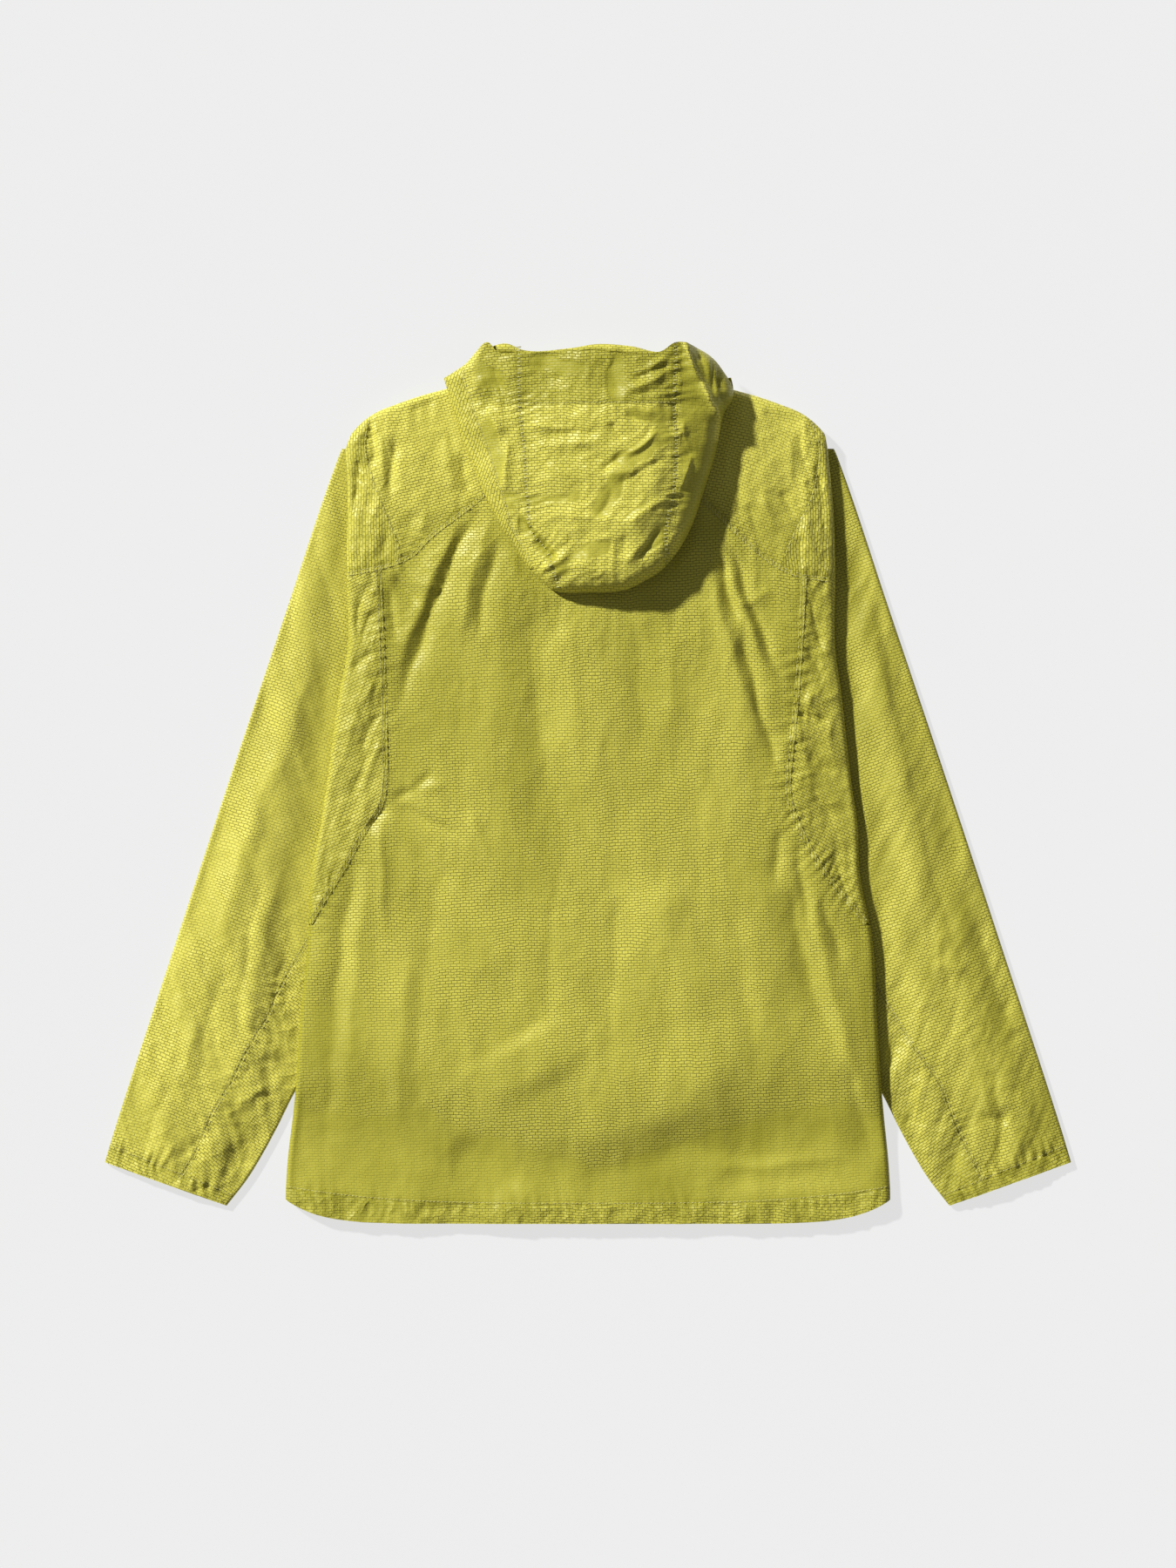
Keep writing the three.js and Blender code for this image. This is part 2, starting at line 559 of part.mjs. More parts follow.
function addFront(side) {
  const { name, sign } = side;
  const part = stations[name];
  const fold = [...join(part.low, part.side, part.head), ...part.ridge];
  const straight = fold.length - part.ridge.length;
  const zipFrom = [sign * ZIP_HALF, hemSeam(ZIP_HALF)];
  const bodyTop = fold[straight][1];
  const centre = fold.map(([, y], j) => {
    if (j <= straight) {
      const share = (y - fold[0][1]) / (bodyTop - fold[0][1]);
      return [sign * ZIP_HALF, mix(zipFrom[1], neckline(ZIP_HALF), share)];
    }
    const x = mix(ZIP_HALF, NECK_SEAM_END, (j - straight) / (fold.length - 1 - straight));
    return [sign * x, neckline(x)];
  });
  const columns = (width, v, j) => {
    const y = fold[j][1];
    const hidden = Math.max(0, sideFold[name](y) - sleeveInner(y));
    const risen = Math.max(hidden + LIFT_CLEAR, 1.5 * BODY_FOLD);
    const rise = [risen, risen + LIFT_RUN];
    return across(width, EDGE, 3, [...overFold(BODY_FOLD), ...rise]);
  };
  const foldX = Math.abs(fold[0][0]);
  addWall(`front_${name}`, FORMS.front, {
    start: centre, end: fold, columns, bottom: overX(zipFrom[0], fold[0][0], hemSeam),
  });
  const hemCentre = [sign * ZIP_HALF, hemEdge(ZIP_HALF)];
  const hemEnd = [sign * foldX, hemEdge(foldX)];
  addWall(`hem_front_${name}`, FORMS.front, {
    start: [hemCentre, centre[0]], end: [hemEnd, fold[0]], columns,
    bottom: overX(hemCentre[0], hemEnd[0], hemEdge),
    top: overX(zipFrom[0], fold[0][0], hemSeam),
  }, SEAM_MATERIAL);
}

function addZip() {
  const edge = (x) => {
    const top = collarTop(x);
    const bend = overFold(COLLAR_FOLD).reverse().map((d) => top - d);
    return [...steps(hemEdge(x), NECK_Y, 6), ...steps(NECK_Y, bend[0], 3).slice(1), ...bend.slice(1)]
      .map((y) => [x, y]);
  };
  addWall('zip_tape', FORMS.collar, {
    start: edge(-ZIP_HALF), end: edge(ZIP_HALF), columns: () => [0, 0.5, 1],
  }, ZIP_MATERIAL);
  const sliderEdge = (x) => steps(SLIDER_TO, SLIDER_FROM, 2).map((d) => [x, collarTop(x) - d]);
  addWall('zip_slider', FORMS.collar, {
    start: sliderEdge(-SLIDER_HALF), end: sliderEdge(SLIDER_HALF), columns: () => [0, 0.5, 1],
  }, ZIP_MATERIAL, SEAM_GAP + SLIDER_THICK, SLIDER_THICK);
}

function addCollar() {
  for (const side of SIDES) {
    const collarFoot = (x) => neckline(x) + SEAM_GAP / 2;
    const outerFoot = [NECK_SEAM_END, collarFoot(NECK_SEAM_END)];
    const outerTop = side.name === 'left' ? 89 : 87;
    const line = (foot, topX) => {
      const top = [topX, collarTop(side.sign * topX)];
      const bend = overFold(COLLAR_FOLD).reverse().map((d) => [topX, top[1] - d]);
      const rise = steps(0, 1, 3).map((t) => mixPoint(foot, bend[0], t));
      return [...rise, ...bend.slice(1)].map((point) => mirror(side, point));
    };
    const start = line([ZIP_HALF, collarFoot(ZIP_HALF)], ZIP_HALF);
    const end = line(outerFoot, outerTop);
    addWall(`collar_${side.name}`, FORMS.collar, {
      start, end, columns: (width) => across(width, EDGE, YOKE_ROWS, EDGE),
      bottom: overX(start[0][0], end[0][0], collarFoot),
      top: overX(start.at(-1)[0], end.at(-1)[0], collarTop),
    });
  }
  const lipEdge = (x) => {
    const bend = overFold(COLLAR_LIP_FOLD);
    return [...bend, COLLAR_LIP_DEPTH].map((d) => [x, collarTop(x) - d]).reverse();
  };
  const start = lipEdge(-COLLAR_LIP_HALF);
  const end = lipEdge(COLLAR_LIP_HALF);
  addWall('collar_lip', FORMS.collarLip, {
    start, end, columns: (width) => across(width, EDGE, 10, EDGE),
    bottom: overX(start[0][0], end[0][0], (x) => collarTop(x) - COLLAR_LIP_DEPTH),
    top: overX(start.at(-1)[0], end.at(-1)[0], collarTop),
  }, SEAM_MATERIAL);
}

const SLEEVE_UPPER_ROWS = 7;
const SLEEVE_LOWER_ROWS = 7;
const SLEEVE_SEAM_FROM = -90;
const SLEEVE_PARTING_ROW = 3;        // row below the seam's upper end where the outer half is parted
const SLEEVE_SEAM_OUTER = -51;       // height of the outer fold level with the seam's upper end

function addSleeve(side) {
  const { name } = side;
  const put = (points) => points.map((point) => mirror(side, point));
  const inner = (from, to, count) => steps(from, to, count).map((y) => [sleeveInner(y), y]);
  const outer = (from, to, count) => steps(from, to, count).map((y) => [sleeveOuter(y), y]);
  const cuffAt = { left: [351.5, -337.3], right: [341, -341.5] }[name];
  const seam = steps(SLEEVE_SEAM_FROM, cuffAt[1], SLEEVE_LOWER_ROWS).map((y) => [sleeveSeam[name](y), y]);
  seam[SLEEVE_LOWER_ROWS] = cuffAt;
  const innerLow = inner(SLEEVE_SEAM_FROM, CUFF_SEAM.inner[1], SLEEVE_LOWER_ROWS);
  const innerHigh = inner(SLEEVE_TOP, SLEEVE_SEAM_FROM, SLEEVE_UPPER_ROWS);
  const outerHigh = outer(SLEEVE_TOP, SLEEVE_SEAM_OUTER, SLEEVE_UPPER_ROWS);
  const outerLow = outer(SLEEVE_SEAM_OUTER, CUFF_SEAM.outer[1], SLEEVE_LOWER_ROWS);
  const outerFold = put(join(outerHigh, outerLow));
  const innerFold = put(join(innerHigh, innerLow));
  const round = overFold(SLEEVE_FOLD);
  const bothFolds = (count) => (width) => across(width, round, count, round);

  const backInner = put([...innerHigh.slice(0, -1), ...seam]);
  const ridge = backInner.map((from, j) => {
    const to = outerFold[j];
    const level = mixPoint(from, to, 0.5)[1];
    const share = (sleeveRidge(level) - Math.abs(from[0])) / Math.abs(to[0] - from[0]);
    return mixPoint(from, to, Math.min(0.8, Math.max(0.2, share)));
  });
  addWall(`sleeve_back_${name}`, FORMS.sleeveTop, {
    start: backInner, end: ridge, columns: (width) => across(width, round, 4, EDGE),
  });
  const outerWall = (label, from, to) => addWall(label, FORMS.sleeveTop, {
    start: ridge.slice(from, to), end: outerFold.slice(from, to), columns: (width) => across(width, EDGE, 4, round),
  });
  const parting = SLEEVE_UPPER_ROWS + SLEEVE_PARTING_ROW;
  outerWall(`sleeve_outer_upper_${name}`, 0, parting + 1);
  outerWall(`sleeve_outer_${name}`, parting);
  addWall(`sleeve_under_${name}`, FORMS.sleeveTop, {
    start: put(innerLow), end: put(seam), columns: (width) => across(width, round, 3, EDGE),
  });
  addWall(`sleeve_front_${name}`, FORMS.sleeveUnder, {
    start: innerFold, end: outerFold, columns: bothFolds(2),
  });
  const cuff = (form, label, count) => addWall(label, form, {
    start: put([[sleeveInner(CUFF_SEAM.inner[1]), CUFF_SEAM.inner[1]], CUFF_EDGE.inner]),
    end: put([[sleeveOuter(CUFF_SEAM.outer[1]), CUFF_SEAM.outer[1]], CUFF_EDGE.outer]),
    columns: bothFolds(count),
  }, SEAM_MATERIAL);
  cuff(FORMS.sleeveTop, `cuff_back_${name}`, 6);
  cuff(FORMS.sleeveUnder, `cuff_front_${name}`, 2);
}

// Rows of the hood's walls, close together over the fold at its foot
const HOOD_ROWS = [168.5, 171, 176, 183, 194, 212, 235, 262, 294, BRIM_SEAM_Y];
const HOOD_TOP_ROWS = 3;
const CROWN_COLUMNS = 10;
const CROWN_FOOT = { left: -25, right: 67 };
const HOOD_FOOT = { left: -31, right: 71 };
const HOOD_CORNER = { left: [-117, 349], right: [117, 345] };  // x at the top edge, y at the side
const HOOD_SHOULDER_Y = { left: 322, right: 318 };
const HOOD_BAND_FROM_Y = 184;
const HOOD_BAND_TOP_X = -107;
const HOOD_NECK_GAP = 2;
const footFold = { left: overFold(hoodFold(-80)), right: overFold(hoodFold(100)) };

// The hood's outline on one side, from its foot to its top corner, closer together at the foot
function hoodOutline(name, crowding) {
  const foot = [HOOD_FOOT[name], hoodBottom(HOOD_FOOT[name])];
  const rise = steps(0, 1, HOOD_ROWS.length).slice(1)
    .map((t) => mix(foot[1], HOOD_SHOULDER_Y[name], t ** crowding));
  const high = steps(HOOD_SHOULDER_Y[name], HOOD_CORNER[name][1], 2).slice(1);
  const corner = [HOOD_CORNER[name][0], hoodTop(HOOD_CORNER[name][0])];
  return [foot, ...[...rise, ...high].map((y) => [hoodSide[name](y), y]), corner];
}

function addHood() {
  const even = (width) => across(width, EDGE, CROWN_COLUMNS, EDGE);
  const seamUpTo = (name, topY, rowAt) => ({
    crown: [[CROWN_FOOT[name], hoodBottom(CROWN_FOOT[name])],
      ...HOOD_ROWS.map(rowAt).map((y) => [hoodSeam[name](y), y])],
    brim: steps(BRIM_SEAM_Y, topY, HOOD_TOP_ROWS).map((y) => [hoodSeam[name](y), y]),
  });
  const rightFootY = hoodBottom(CROWN_FOOT.right);
  const lowest = HOOD_BOTTOM.find((row) => row.x === 0).y;
  const raised = (y) => mix(rightFootY, BRIM_SEAM_Y, (y - lowest) / (BRIM_SEAM_Y - lowest));
  const left = seamUpTo('left', BRIM_EDGE_Y, (y) => y);
  const right = seamUpTo('right', BRIM_EDGE_Y, raised);
  addWall('hood_crown', FORMS.hood, {
    start: left.crown, end: right.crown, columns: even,
    bottom: overX(CROWN_FOOT.left, CROWN_FOOT.right, hoodBottom),
  });
  addWall('hood_brim', FORMS.hood, {
    start: left.brim, end: right.brim, columns: even,
    top: overX(left.brim.at(-1)[0], right.brim.at(-1)[0], hoodTop),
  }, SEAM_MATERIAL);

  const outlineLeft = hoodOutline('left', 1.4);
  const bandFrom = outlineLeft.findIndex(([, y]) => y > HOOD_BAND_FROM_Y);
  const bandTop = [HOOD_BAND_TOP_X, hoodTop(HOOD_BAND_TOP_X)];
  const bandInner = outlineLeft.map(([x, y], j) => {
    if (j < bandFrom) return [x, y];
    return j === outlineLeft.length - 1 ? bandTop : [x + hoodBandWidth(y), y];
  });
  const seamLeft = join(left.crown, left.brim);
  addWall('hood_side_left', FORMS.hood, {
    start: bandInner, end: seamLeft, columns: (width) => across(width, footFold.left, 4, EDGE),
    bottom: overX(HOOD_FOOT.left, CROWN_FOOT.left, hoodBottom),
    top: overX(bandTop[0], seamLeft.at(-1)[0], hoodTop),
  });
  addWall('hood_band', FORMS.hood, {
    start: outlineLeft.slice(bandFrom), end: bandInner.slice(bandFrom),
    columns: (width) => across(width, [0, 0.7, 2.5], 2, EDGE),
  }, SEAM_MATERIAL);

  // The right side panel runs on past the brim, up to the top edge
  const outlineRight = hoodOutline('right', 1.2);
  const pastBrim = [...right.brim.slice(0, -1), [right.brim.at(-1)[0], hoodTop(right.brim.at(-1)[0])]];
  const seamRight = join(right.crown, pastBrim);
  addWall('hood_side_right', FORMS.hood, {
    start: seamRight, end: outlineRight,
    columns: (width) => across(width, EDGE, 3, footFold.right),
    bottom: overX(CROWN_FOOT.right, HOOD_FOOT.right, hoodBottom),
    top: overX(seamRight.at(-1)[0], outlineRight.at(-1)[0], hoodTop),
  });

  // The layer that lies on the back, down from the neckline
  const underLeft = outlineLeft.slice(0, -1);
  const underRight = outlineRight.slice(0, -1);
  const neckEdge = (x) => BACK_NECK_Y + HOOD_NECK_GAP
    + 27 * smooth((Math.abs(x) - BACK_NECK_HALF) / (NECK_POINT[0] - BACK_NECK_HALF));
  const foot = [HOOD_FOOT.left, ...steps(CROWN_FOOT.left, CROWN_FOOT.right, CROWN_COLUMNS), HOOD_FOOT.right]
    .map((x) => (x - HOOD_FOOT.left) / (HOOD_FOOT.right - HOOD_FOOT.left));
  const between = foot.length + 1 - footFold.left.length - footFold.right.length;
  const underColumns = (width, v) => {
    const spread = across(width, footFold.left, between, footFold.right);
    return spread.map((u, i) => mix(foot[i], u, smooth(v / 0.2)));
  };
  addWall('hood_under', FORMS.hoodUnder, {
    start: underLeft, end: underRight, columns: underColumns,
    bottom: overX(HOOD_FOOT.left, HOOD_FOOT.right, hoodBottom),
    top: overX(underLeft.at(-1)[0], underRight.at(-1)[0], neckEdge),
  });
}

addBack();
for (const side of SIDES) {
  addUpperSide(side);
  addFront(side);
  addSleeve(side);
}
addZip();
addCollar();
addHood();

export default jacket;
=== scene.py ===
"""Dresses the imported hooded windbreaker, laid flat on its front: cloth, seams, stitches, zip and stage."""

import math

import bpy
import numpy as np
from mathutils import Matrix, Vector


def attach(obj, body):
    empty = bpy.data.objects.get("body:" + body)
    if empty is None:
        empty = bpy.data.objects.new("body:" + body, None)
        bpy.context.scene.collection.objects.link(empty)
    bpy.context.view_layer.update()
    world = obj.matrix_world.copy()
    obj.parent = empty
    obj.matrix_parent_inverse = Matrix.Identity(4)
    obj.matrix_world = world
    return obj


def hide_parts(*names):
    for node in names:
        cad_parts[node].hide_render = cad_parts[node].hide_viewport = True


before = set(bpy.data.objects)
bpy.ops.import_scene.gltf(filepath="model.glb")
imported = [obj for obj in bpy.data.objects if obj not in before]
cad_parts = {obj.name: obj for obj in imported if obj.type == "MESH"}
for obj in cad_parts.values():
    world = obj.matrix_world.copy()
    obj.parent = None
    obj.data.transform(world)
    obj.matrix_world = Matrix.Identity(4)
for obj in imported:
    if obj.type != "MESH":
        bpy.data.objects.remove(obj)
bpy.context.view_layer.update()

bl_info = {
    "name": "Windbreaker jacket",
    "version": (1, 0, 0),
    "blender": (4, 5, 0),
    "location": "3D View > Sidebar > Jacket",
    "description": "Builds the cloth, seams and zip of a hooded windbreaker around its packed solids",
    "category": "Add Mesh",
}

MM = 0.001

# Driving dimensions in millimetres, as in the part's source
SEAM_GAP = 0.3
LAY_GAP = 0.6
BODY_FOLD = 5.0
SLEEVE_FOLD = 2.75
BODY_PUFF = 9.0
PUFF_REACH = 70.0
SLEEVE_PUFF = 8.0
CUFF_PUFF = 4.0
HOOD_PUFF = 20.0
HOOD_REACH = 32.0
COLLAR_CREST = 18.0
COLLAR_FOLD = 16.0
COLLAR_LIP_FOLD = 6.0
COLLAR_LIP_TOP = 24.0
COLLAR_LIP_DEPTH = 17.0
COLLAR_LIP_HALF = 68.0
COLLAR_LIP_FROM = -79.0         # on the left, where the lip shows beside the hood's dark corner
ZIP_HALF = 7.0
HEM_Y = -378.83
HEM_SEAM_Y = -362.6
HEM_HALF = 262.0
NECK_Y = 262.0
NECK_POINT = (95.0, 348.0)
NECK_SEAM_END = 87.0
BACK_NECK_Y = 320.0
BACK_NECK_HALF = 50.0
SLEEVE_TOP = 289.0
SIDE_PANEL_FROM = -116.0
SIDE_PANEL_FOLD_FROM = -122.0
LIFT_RUN = 16.0
LIFT_CLEAR = 4.0
PUFF_CLEAR = 8.0
SLEEVE_LEAVES_Y = -264.0
BRIM_SEAM_Y = 325.0
BRIM_EDGE_Y = 370.5
BODY_LIFT = 2 * SLEEVE_FOLD + LAY_GAP
SHOULDER_CORNER_X = 204.0
SHOULDER_CORNER_Y = 288.0
HEM_CORNER_Y = -348.0
HEM_FOLD_FROM = -330.0
YOKE_END_X = 208.0
SLEEVE_SEAM_FROM = -90.0
SLEEVE_SEAM_OUTER = -51.0
SLEEVE_SLANT = 0.33             # how far a sleeve moves outwards for each millimetre down
CUFF_AT = {"left": (351.5, -337.3), "right": (341.0, -341.5)}
HOOD_FOLDS = (5, 12)            # radius of the hood's folded edge, on the left and on the right
HOOD_LOWEST = 164.5
HOOD_SEAM_FROM = {"left": 168.0, "right": 190.0}
CROWN_FOOT = {"left": -25.0, "right": 67.0}
HOOD_FOOT = {"left": -31.0, "right": 71.0}
HOOD_CORNER = {"left": (-117.0, 349.0), "right": (117.0, 345.0)}
HOOD_SHOULDER_Y = {"left": 322.0, "right": 318.0}
HOOD_BAND_FROM_Y = 184.0
HOOD_BAND_TOP_X = -107.0
HOOD_NECK_GAP = 2.0
COLLAR_END = {"left": 89.0, "right": 87.0}
TAPE_RISE = 0.85                # the tape's face above the lowest face of the collar form, to clear the teeth
TOOTH_PITCH = 2.0
TOOTH_RISE = 0.36
SLIDER_FROM_TOP = 3.0
SLIDER_TO_TOP = 7.0
SLIDER_RISE = 1.2
# The slider's body, bridge and pull: middle and half size along the zip, across it and outwards
SLIDER_BLOCKS = (
    ((0, 0, 0), (2.5, 3.6, 1.0)),
    ((0.6, 0, 1.0), (1.5, 0.9, 0.5)),
    ((-0.6, 0, 1.35), (2.2, 1.5, 0.3)),
)
SIDES = (("left", -1), ("right", 1))

# Sewing, in millimetres
SEAM_PARTING = 0.06             # from a seam to the cloth's edge on each side of it
RIBBON = 0.3                    # thickness of a felled seam allowance
SIDE_RIBBON = np.array([0.6, -5.2])     # where it starts beside the seam and how wide it is, on the right
YOKE_RIBBON = np.array([-0.6, 4.2])
# Half length, width and height of a stitch, of a rung of the hood's ladders and of a tooth of the zip
STITCH = (1.25, 0.32, 0.24)
RUNG = (2.0, 0.52, 0.25)
TOOTH = (2.3, 0.62, 0.34)
STITCH_RISE = 0.05
RIBBON_STITCH_RISE = 0.38
RUNG_RISE = 0.12
RUNG_WANDER = 0.3
# How far each row of stitches runs beside its seam
STITCHES = {
    "side": (-0.5, -3.9), "yoke": (0.3, 2.9), "armhole": (-1.3,), "sleeve": (-1.4, 1.4), "cuff": (1.6,),
    "hem": (1.6,), "brim": (1.5,), "band": (-1.2,),
}

# Steps across each piece's mesh in millimetres, and rows along the paths
STEPS = {
    "back": 2.85, "hem": 1.7, "side_panel": 2.0, "yoke": 1.9, "front": 4.6, "hem_front": 3.0,
    "sleeve_back": 2.3, "sleeve_under": 2.1, "sleeve_front": 4.6, "cuff_back": 1.5, "cuff_front": 2.4,
    "crown": 1.5, "hood_side": 1.6, "band": 2.2, "hood_under": 4.0, "collar": 3.0, "lip": 2.0, "zip": 2.4,
}
BODY_ROWS = {"low": 84, "seam": 104, "yoke_low": 9, "yoke": 50}
FRONT_ROWS = {"low": 50, "side": 64, "head": 30, "ridge": 30}
HOOD_ROWS = {"crown": 112, "brim": 32, "outline": 124}
AROUND = 24                     # points round the slider's softened blocks, and levels from pole to pole
LEVELS = 9

# Stage: lengths in metres, the lens and its sensor in millimetres, and the light's spread in degrees
CAMERA_HEIGHT = 6.762
LENS = 180.0
SENSOR = 36.0
FLOOR_Z = -0.0004
FLOOR_HALF = 15.0
SUN_FALL = (26.0, -22.0, -22.0)
SUN_STRENGTH = 4.9
SUN_SPREAD = 4.0
SKY_STRENGTH = 0.17


def rows(names, *values):
    """A short table as one array for each named column."""
    return {name: np.array([row[i] for row in values], float) for i, name in enumerate(names)}


SIDE_FOLDS = rows(
    ("y", "left", "right"),
    (-380, 262, 262), (-326, 259, 259), (-266, 252, 253), (-206, 248, 249), (-135, 241, 245),
    (-77, 238, 234), (-34, 230, 232), (0, 225, 227), (79, 214, 218), (116, 207, 213), (188, 208, 213),
    (240, 207, 211), (292, 209, 206),
)
SHOULDER = rows(
    ("x", "y"),
    (0, 420), (60, 380), (95, 348), (124, 340), (145, 334), (165, 327), (184, 319), (196, 310),
    (204, 301), (209, 293),
)
SIDE_SEAM = rows(
    ("y", "left", "right"),
    (-135, 248, 248), (-121, 238, 238), (-92, 220, 213), (-69, 206, 196), (-41, 190.5, 181),
    (-18, 176, 172), (-4, 173, 170), (39, 172.5, 173.5), (93, 174, 178.5), (142, 176, 181.5),
    (187, 178, 184),
)
YOKE_SEAM = rows(
    ("x", "left", "right"),
    (50, 320, 320), (66, 283, 284), (92, 249, 254), (116, 230, 230), (140, 211, 207), (150, 200, 198.5),
    (166, 191.6, 187.5), (180, 187.5, 181.5), (208, 182, 177),
)
ARMHOLE = rows(
    ("y", "left", "right"),
    (196, 160, 168), (211, 164, 174), (244, 177.5, 190), (266, 185, 196), (290, 190.5, 198),
    (314, 187.5, 190),
)
SLEEVE_OUTER = rows(
    ("y", "x"),
    (-345, 422), (-326, 416.5), (-296, 407.5), (-146, 358.5), (4, 309), (154, 258.5), (274, 218),
    (289, 212), (300, 205),
)
SLEEVE_INNER = rows(
    ("y", "x"),
    (-363.5, 311.5), (-341, 294), (-326, 284.5), (-296, 268), (-268, 254), (-240, 237), (-206, 222),
    (-135, 212), (-77, 205), (0, 195), (116, 178), (188, 180), (290, 178),
)
SLEEVE_SEAM = rows(
    ("y", "left", "right"),
    (-342, 354, 341), (-323, 341, 331), (-301, 331, 320), (-280, 322, 311.5), (-257, 307.5, 302),
    (-230, 294, 283), (-202, 277.5, 265), (-177, 266, 250), (-139, 244, 229), (-90, 216, 216),
)
CUFF_SEAM = {"outer": (411.5, -313.0), "inner": (306.5, -355.5)}
CUFF_EDGE = {"outer": (416.5, -326.0), "inner": (311.5, -363.5)}
HOOD_SIDES = rows(
    ("y", "left", "right"),
    (166, -30, 32), (175, -41, 50), (184, -50, 64), (201, -61, 78), (219, -73.5, 88), (247, -88, 98),
    (286, -103.5, 110), (319, -115.5, 117), (332, -119, 124.5), (349, -124, 122),
)
HOOD_BOTTOM = rows(
    ("x", "y"),
    (-61, 201), (-50, 184), (-41, 175), (-30, 166.5), (0, 164.5), (32, 166.5), (50, 175), (64, 184),
    (78, 201),
)
HOOD_TOP = rows(
    ("x", "y"),
    (-124, 349), (-107, 360), (-86, 379), (-78, 371), (-54, 370), (0, 371), (62, 370), (75, 378),
    (88, 376.5), (109, 364), (122, 346),
)
HOOD_SEAMS = rows(
    ("y", "left", "right"),
    (168, -25, 67), (194, -32.5, 67.5), (217, -48.5, 66.5), (247, -52, 73), (291, -55, 76),
    (318, -58.5, 74), (371, -59, 75.5), (380, -59, 75.5),
)
HOOD_BAND_WIDTH = rows(("y", "width"), (184, 4), (215, 7), (250, 15), (360, 16))
COLLAR_TOP = rows(
    ("x", "y"),
    (-90, 374), (-71, 379), (-54, 373), (-15, 375), (8, 378.5), (38, 376.5), (63, 372), (77, 379),
    (88, 376),
)

# Creases: from, to, half width on each side, height (a trough where negative) and sideways bow
CREASE = ("x0", "y0", "x1", "y1", "before", "after", "height", "bow")
BACK_CREASES = rows(
    CREASE,
    # From the left yoke's end and from under the hood
    (-92, 246, -167, 54, 7, 9, -5, 4), (-106, 236, -170, 80, 8, 8, 3.2, 3),
    (-74, 219, -97, 120, 7, 7, -3.4, 2), (-86, 224, -111, 118, 8, 8, 2.6, 2),
    (-49, 165, -26, -45, 18, 18, -3, 6), (-12, 160, -5, -20, 22, 22, 3.2, 4),
    (38, 150, 44, 0, 16, 16, -2.2, -4), (78, 150, 70, 10, 14, 18, 2, 3),
    # From the right yoke's end down to the side panel
    (110, 202, 131, 135, 5, 6, -4.6, 0), (131, 140, 169, -2, 5, 7, -4.6, 3),
    (103, 195, 154, 30, 8, 10, 3.4, 4), (121, 212, 171, 79, 4.5, 6, -3.8, 2),
    (117, 200, 160, 85, 6, 6, 3.2, 2), (179, 64, 211, 52, 3.5, 4.5, -2.4, 2),
    (166, -35, 165, -95, 6, 6, -2.6, 3), (180, -38, 201, -159, 4, 4.5, -2.2, 4),
    (201, -92, 222, -159, 4, 5, -2.2, 2),
    # Long folds above the hem
    (172, -75, 224, -249, 11, 13, -4, 8), (224, -235, 253, -337, 9, 12, -3, 3),
    (191, -75, 250, -300, 8, 9, 2.4, 8), (-112, -300, -49, -352, 12, 18, -3, 4),
    (49, -296, 200, -318, 24, 22, -2.2, 12), (96, -330, 230, -316, 9, 7, 1.8, 5),
    # Wide hollows of the middle
    (-56, -210, -26, -262, 30, 34, 3, 0), (64, -75, 94, -210, 34, 30, 2.8, 6),
    (-24, -60, -34, -230, 14, 12, -1.8, 5), (22, -90, 12, -250, 10, 13, -1.5, -5),
    (-118, -40, -150, -300, 16, 20, -1.8, 8), (-150, -120, -165, -330, 12, 12, 1.6, 4),
    (-203, -150, -228, -330, 10, 12, -1.8, 4), (130, -90, 150, -260, 12, 14, -1.6, 6),
    # Where the left side seam turns, and below it
    (-195, -50, -222, -240, 7, 10, -3.0, 4), (-184, -50, -208, -290, 9, 10, 1.5, 5),
    (-177, -25, -173, -135, 4, 5, 1.8, 2), (-172, -17, -131, 15, 4, 5, -2.6, 3),
    (-172, -17, -101, -56, 4, 6, -2.4, -5), (-172, -17, -191, -45, 4, 4, -2.4, 2),
    (-160, -4, -118, 2, 4, 5, 1.8, 2), (-150, -50, -112, -92, 4, 5, -1.3, 3),
    (-100, -20, -84, -66, 4, 6, 1.4, 2),
    # Beside the upper side seams and on the side panels
    (-168, 182, -143, 152, 3, 5, -3, 1), (-172, 172, -160, 120, 4, 5, -2.4, 2),
    (-152, 176, -120, 170, 4, 4, 1.5, 2), (160, 172, 120, 150, 4, 5, 1.5, -3),
    (182, 60, 196, -20, 5, 6, 1.6, 2), (-176, 64, -197, 23, 4, 5, -2.4, 2),
    (-182, 150, -196, 118, 4, 4, -2.2, 2), (-184, 116, -203, 96, 3.5, 4, -2, 1),
    (-180, 92, -200, 62, 4, 4, 1.8, 1), (-186, 30, -205, -20, 5, 5, -2.2, 2),
    (-190, 176, -200, 120, 4, 5, -2.2, 2), (-178, 40, -190, 0, 4, 4, 1.6, 1),
    (-199, 60, -212, 10, 4, 5, 1.6, 2), (190, 168, 204, 110, 4, 4, -2.4, 2),
    (186, 120, 208, 88, 4, 4, -2, 1), (188, 84, 206, 40, 4, 5, 1.8, 2), (184, 30, 214, 6, 4, 4, -2, 1),
    (190, 4, 216, -40, 5, 5, -2.2, 2), (206, 60, 214, 8, 4, 4, 1.6, 1),
    (214, -52, 226, -110, 4, 5, -2, 2),
)
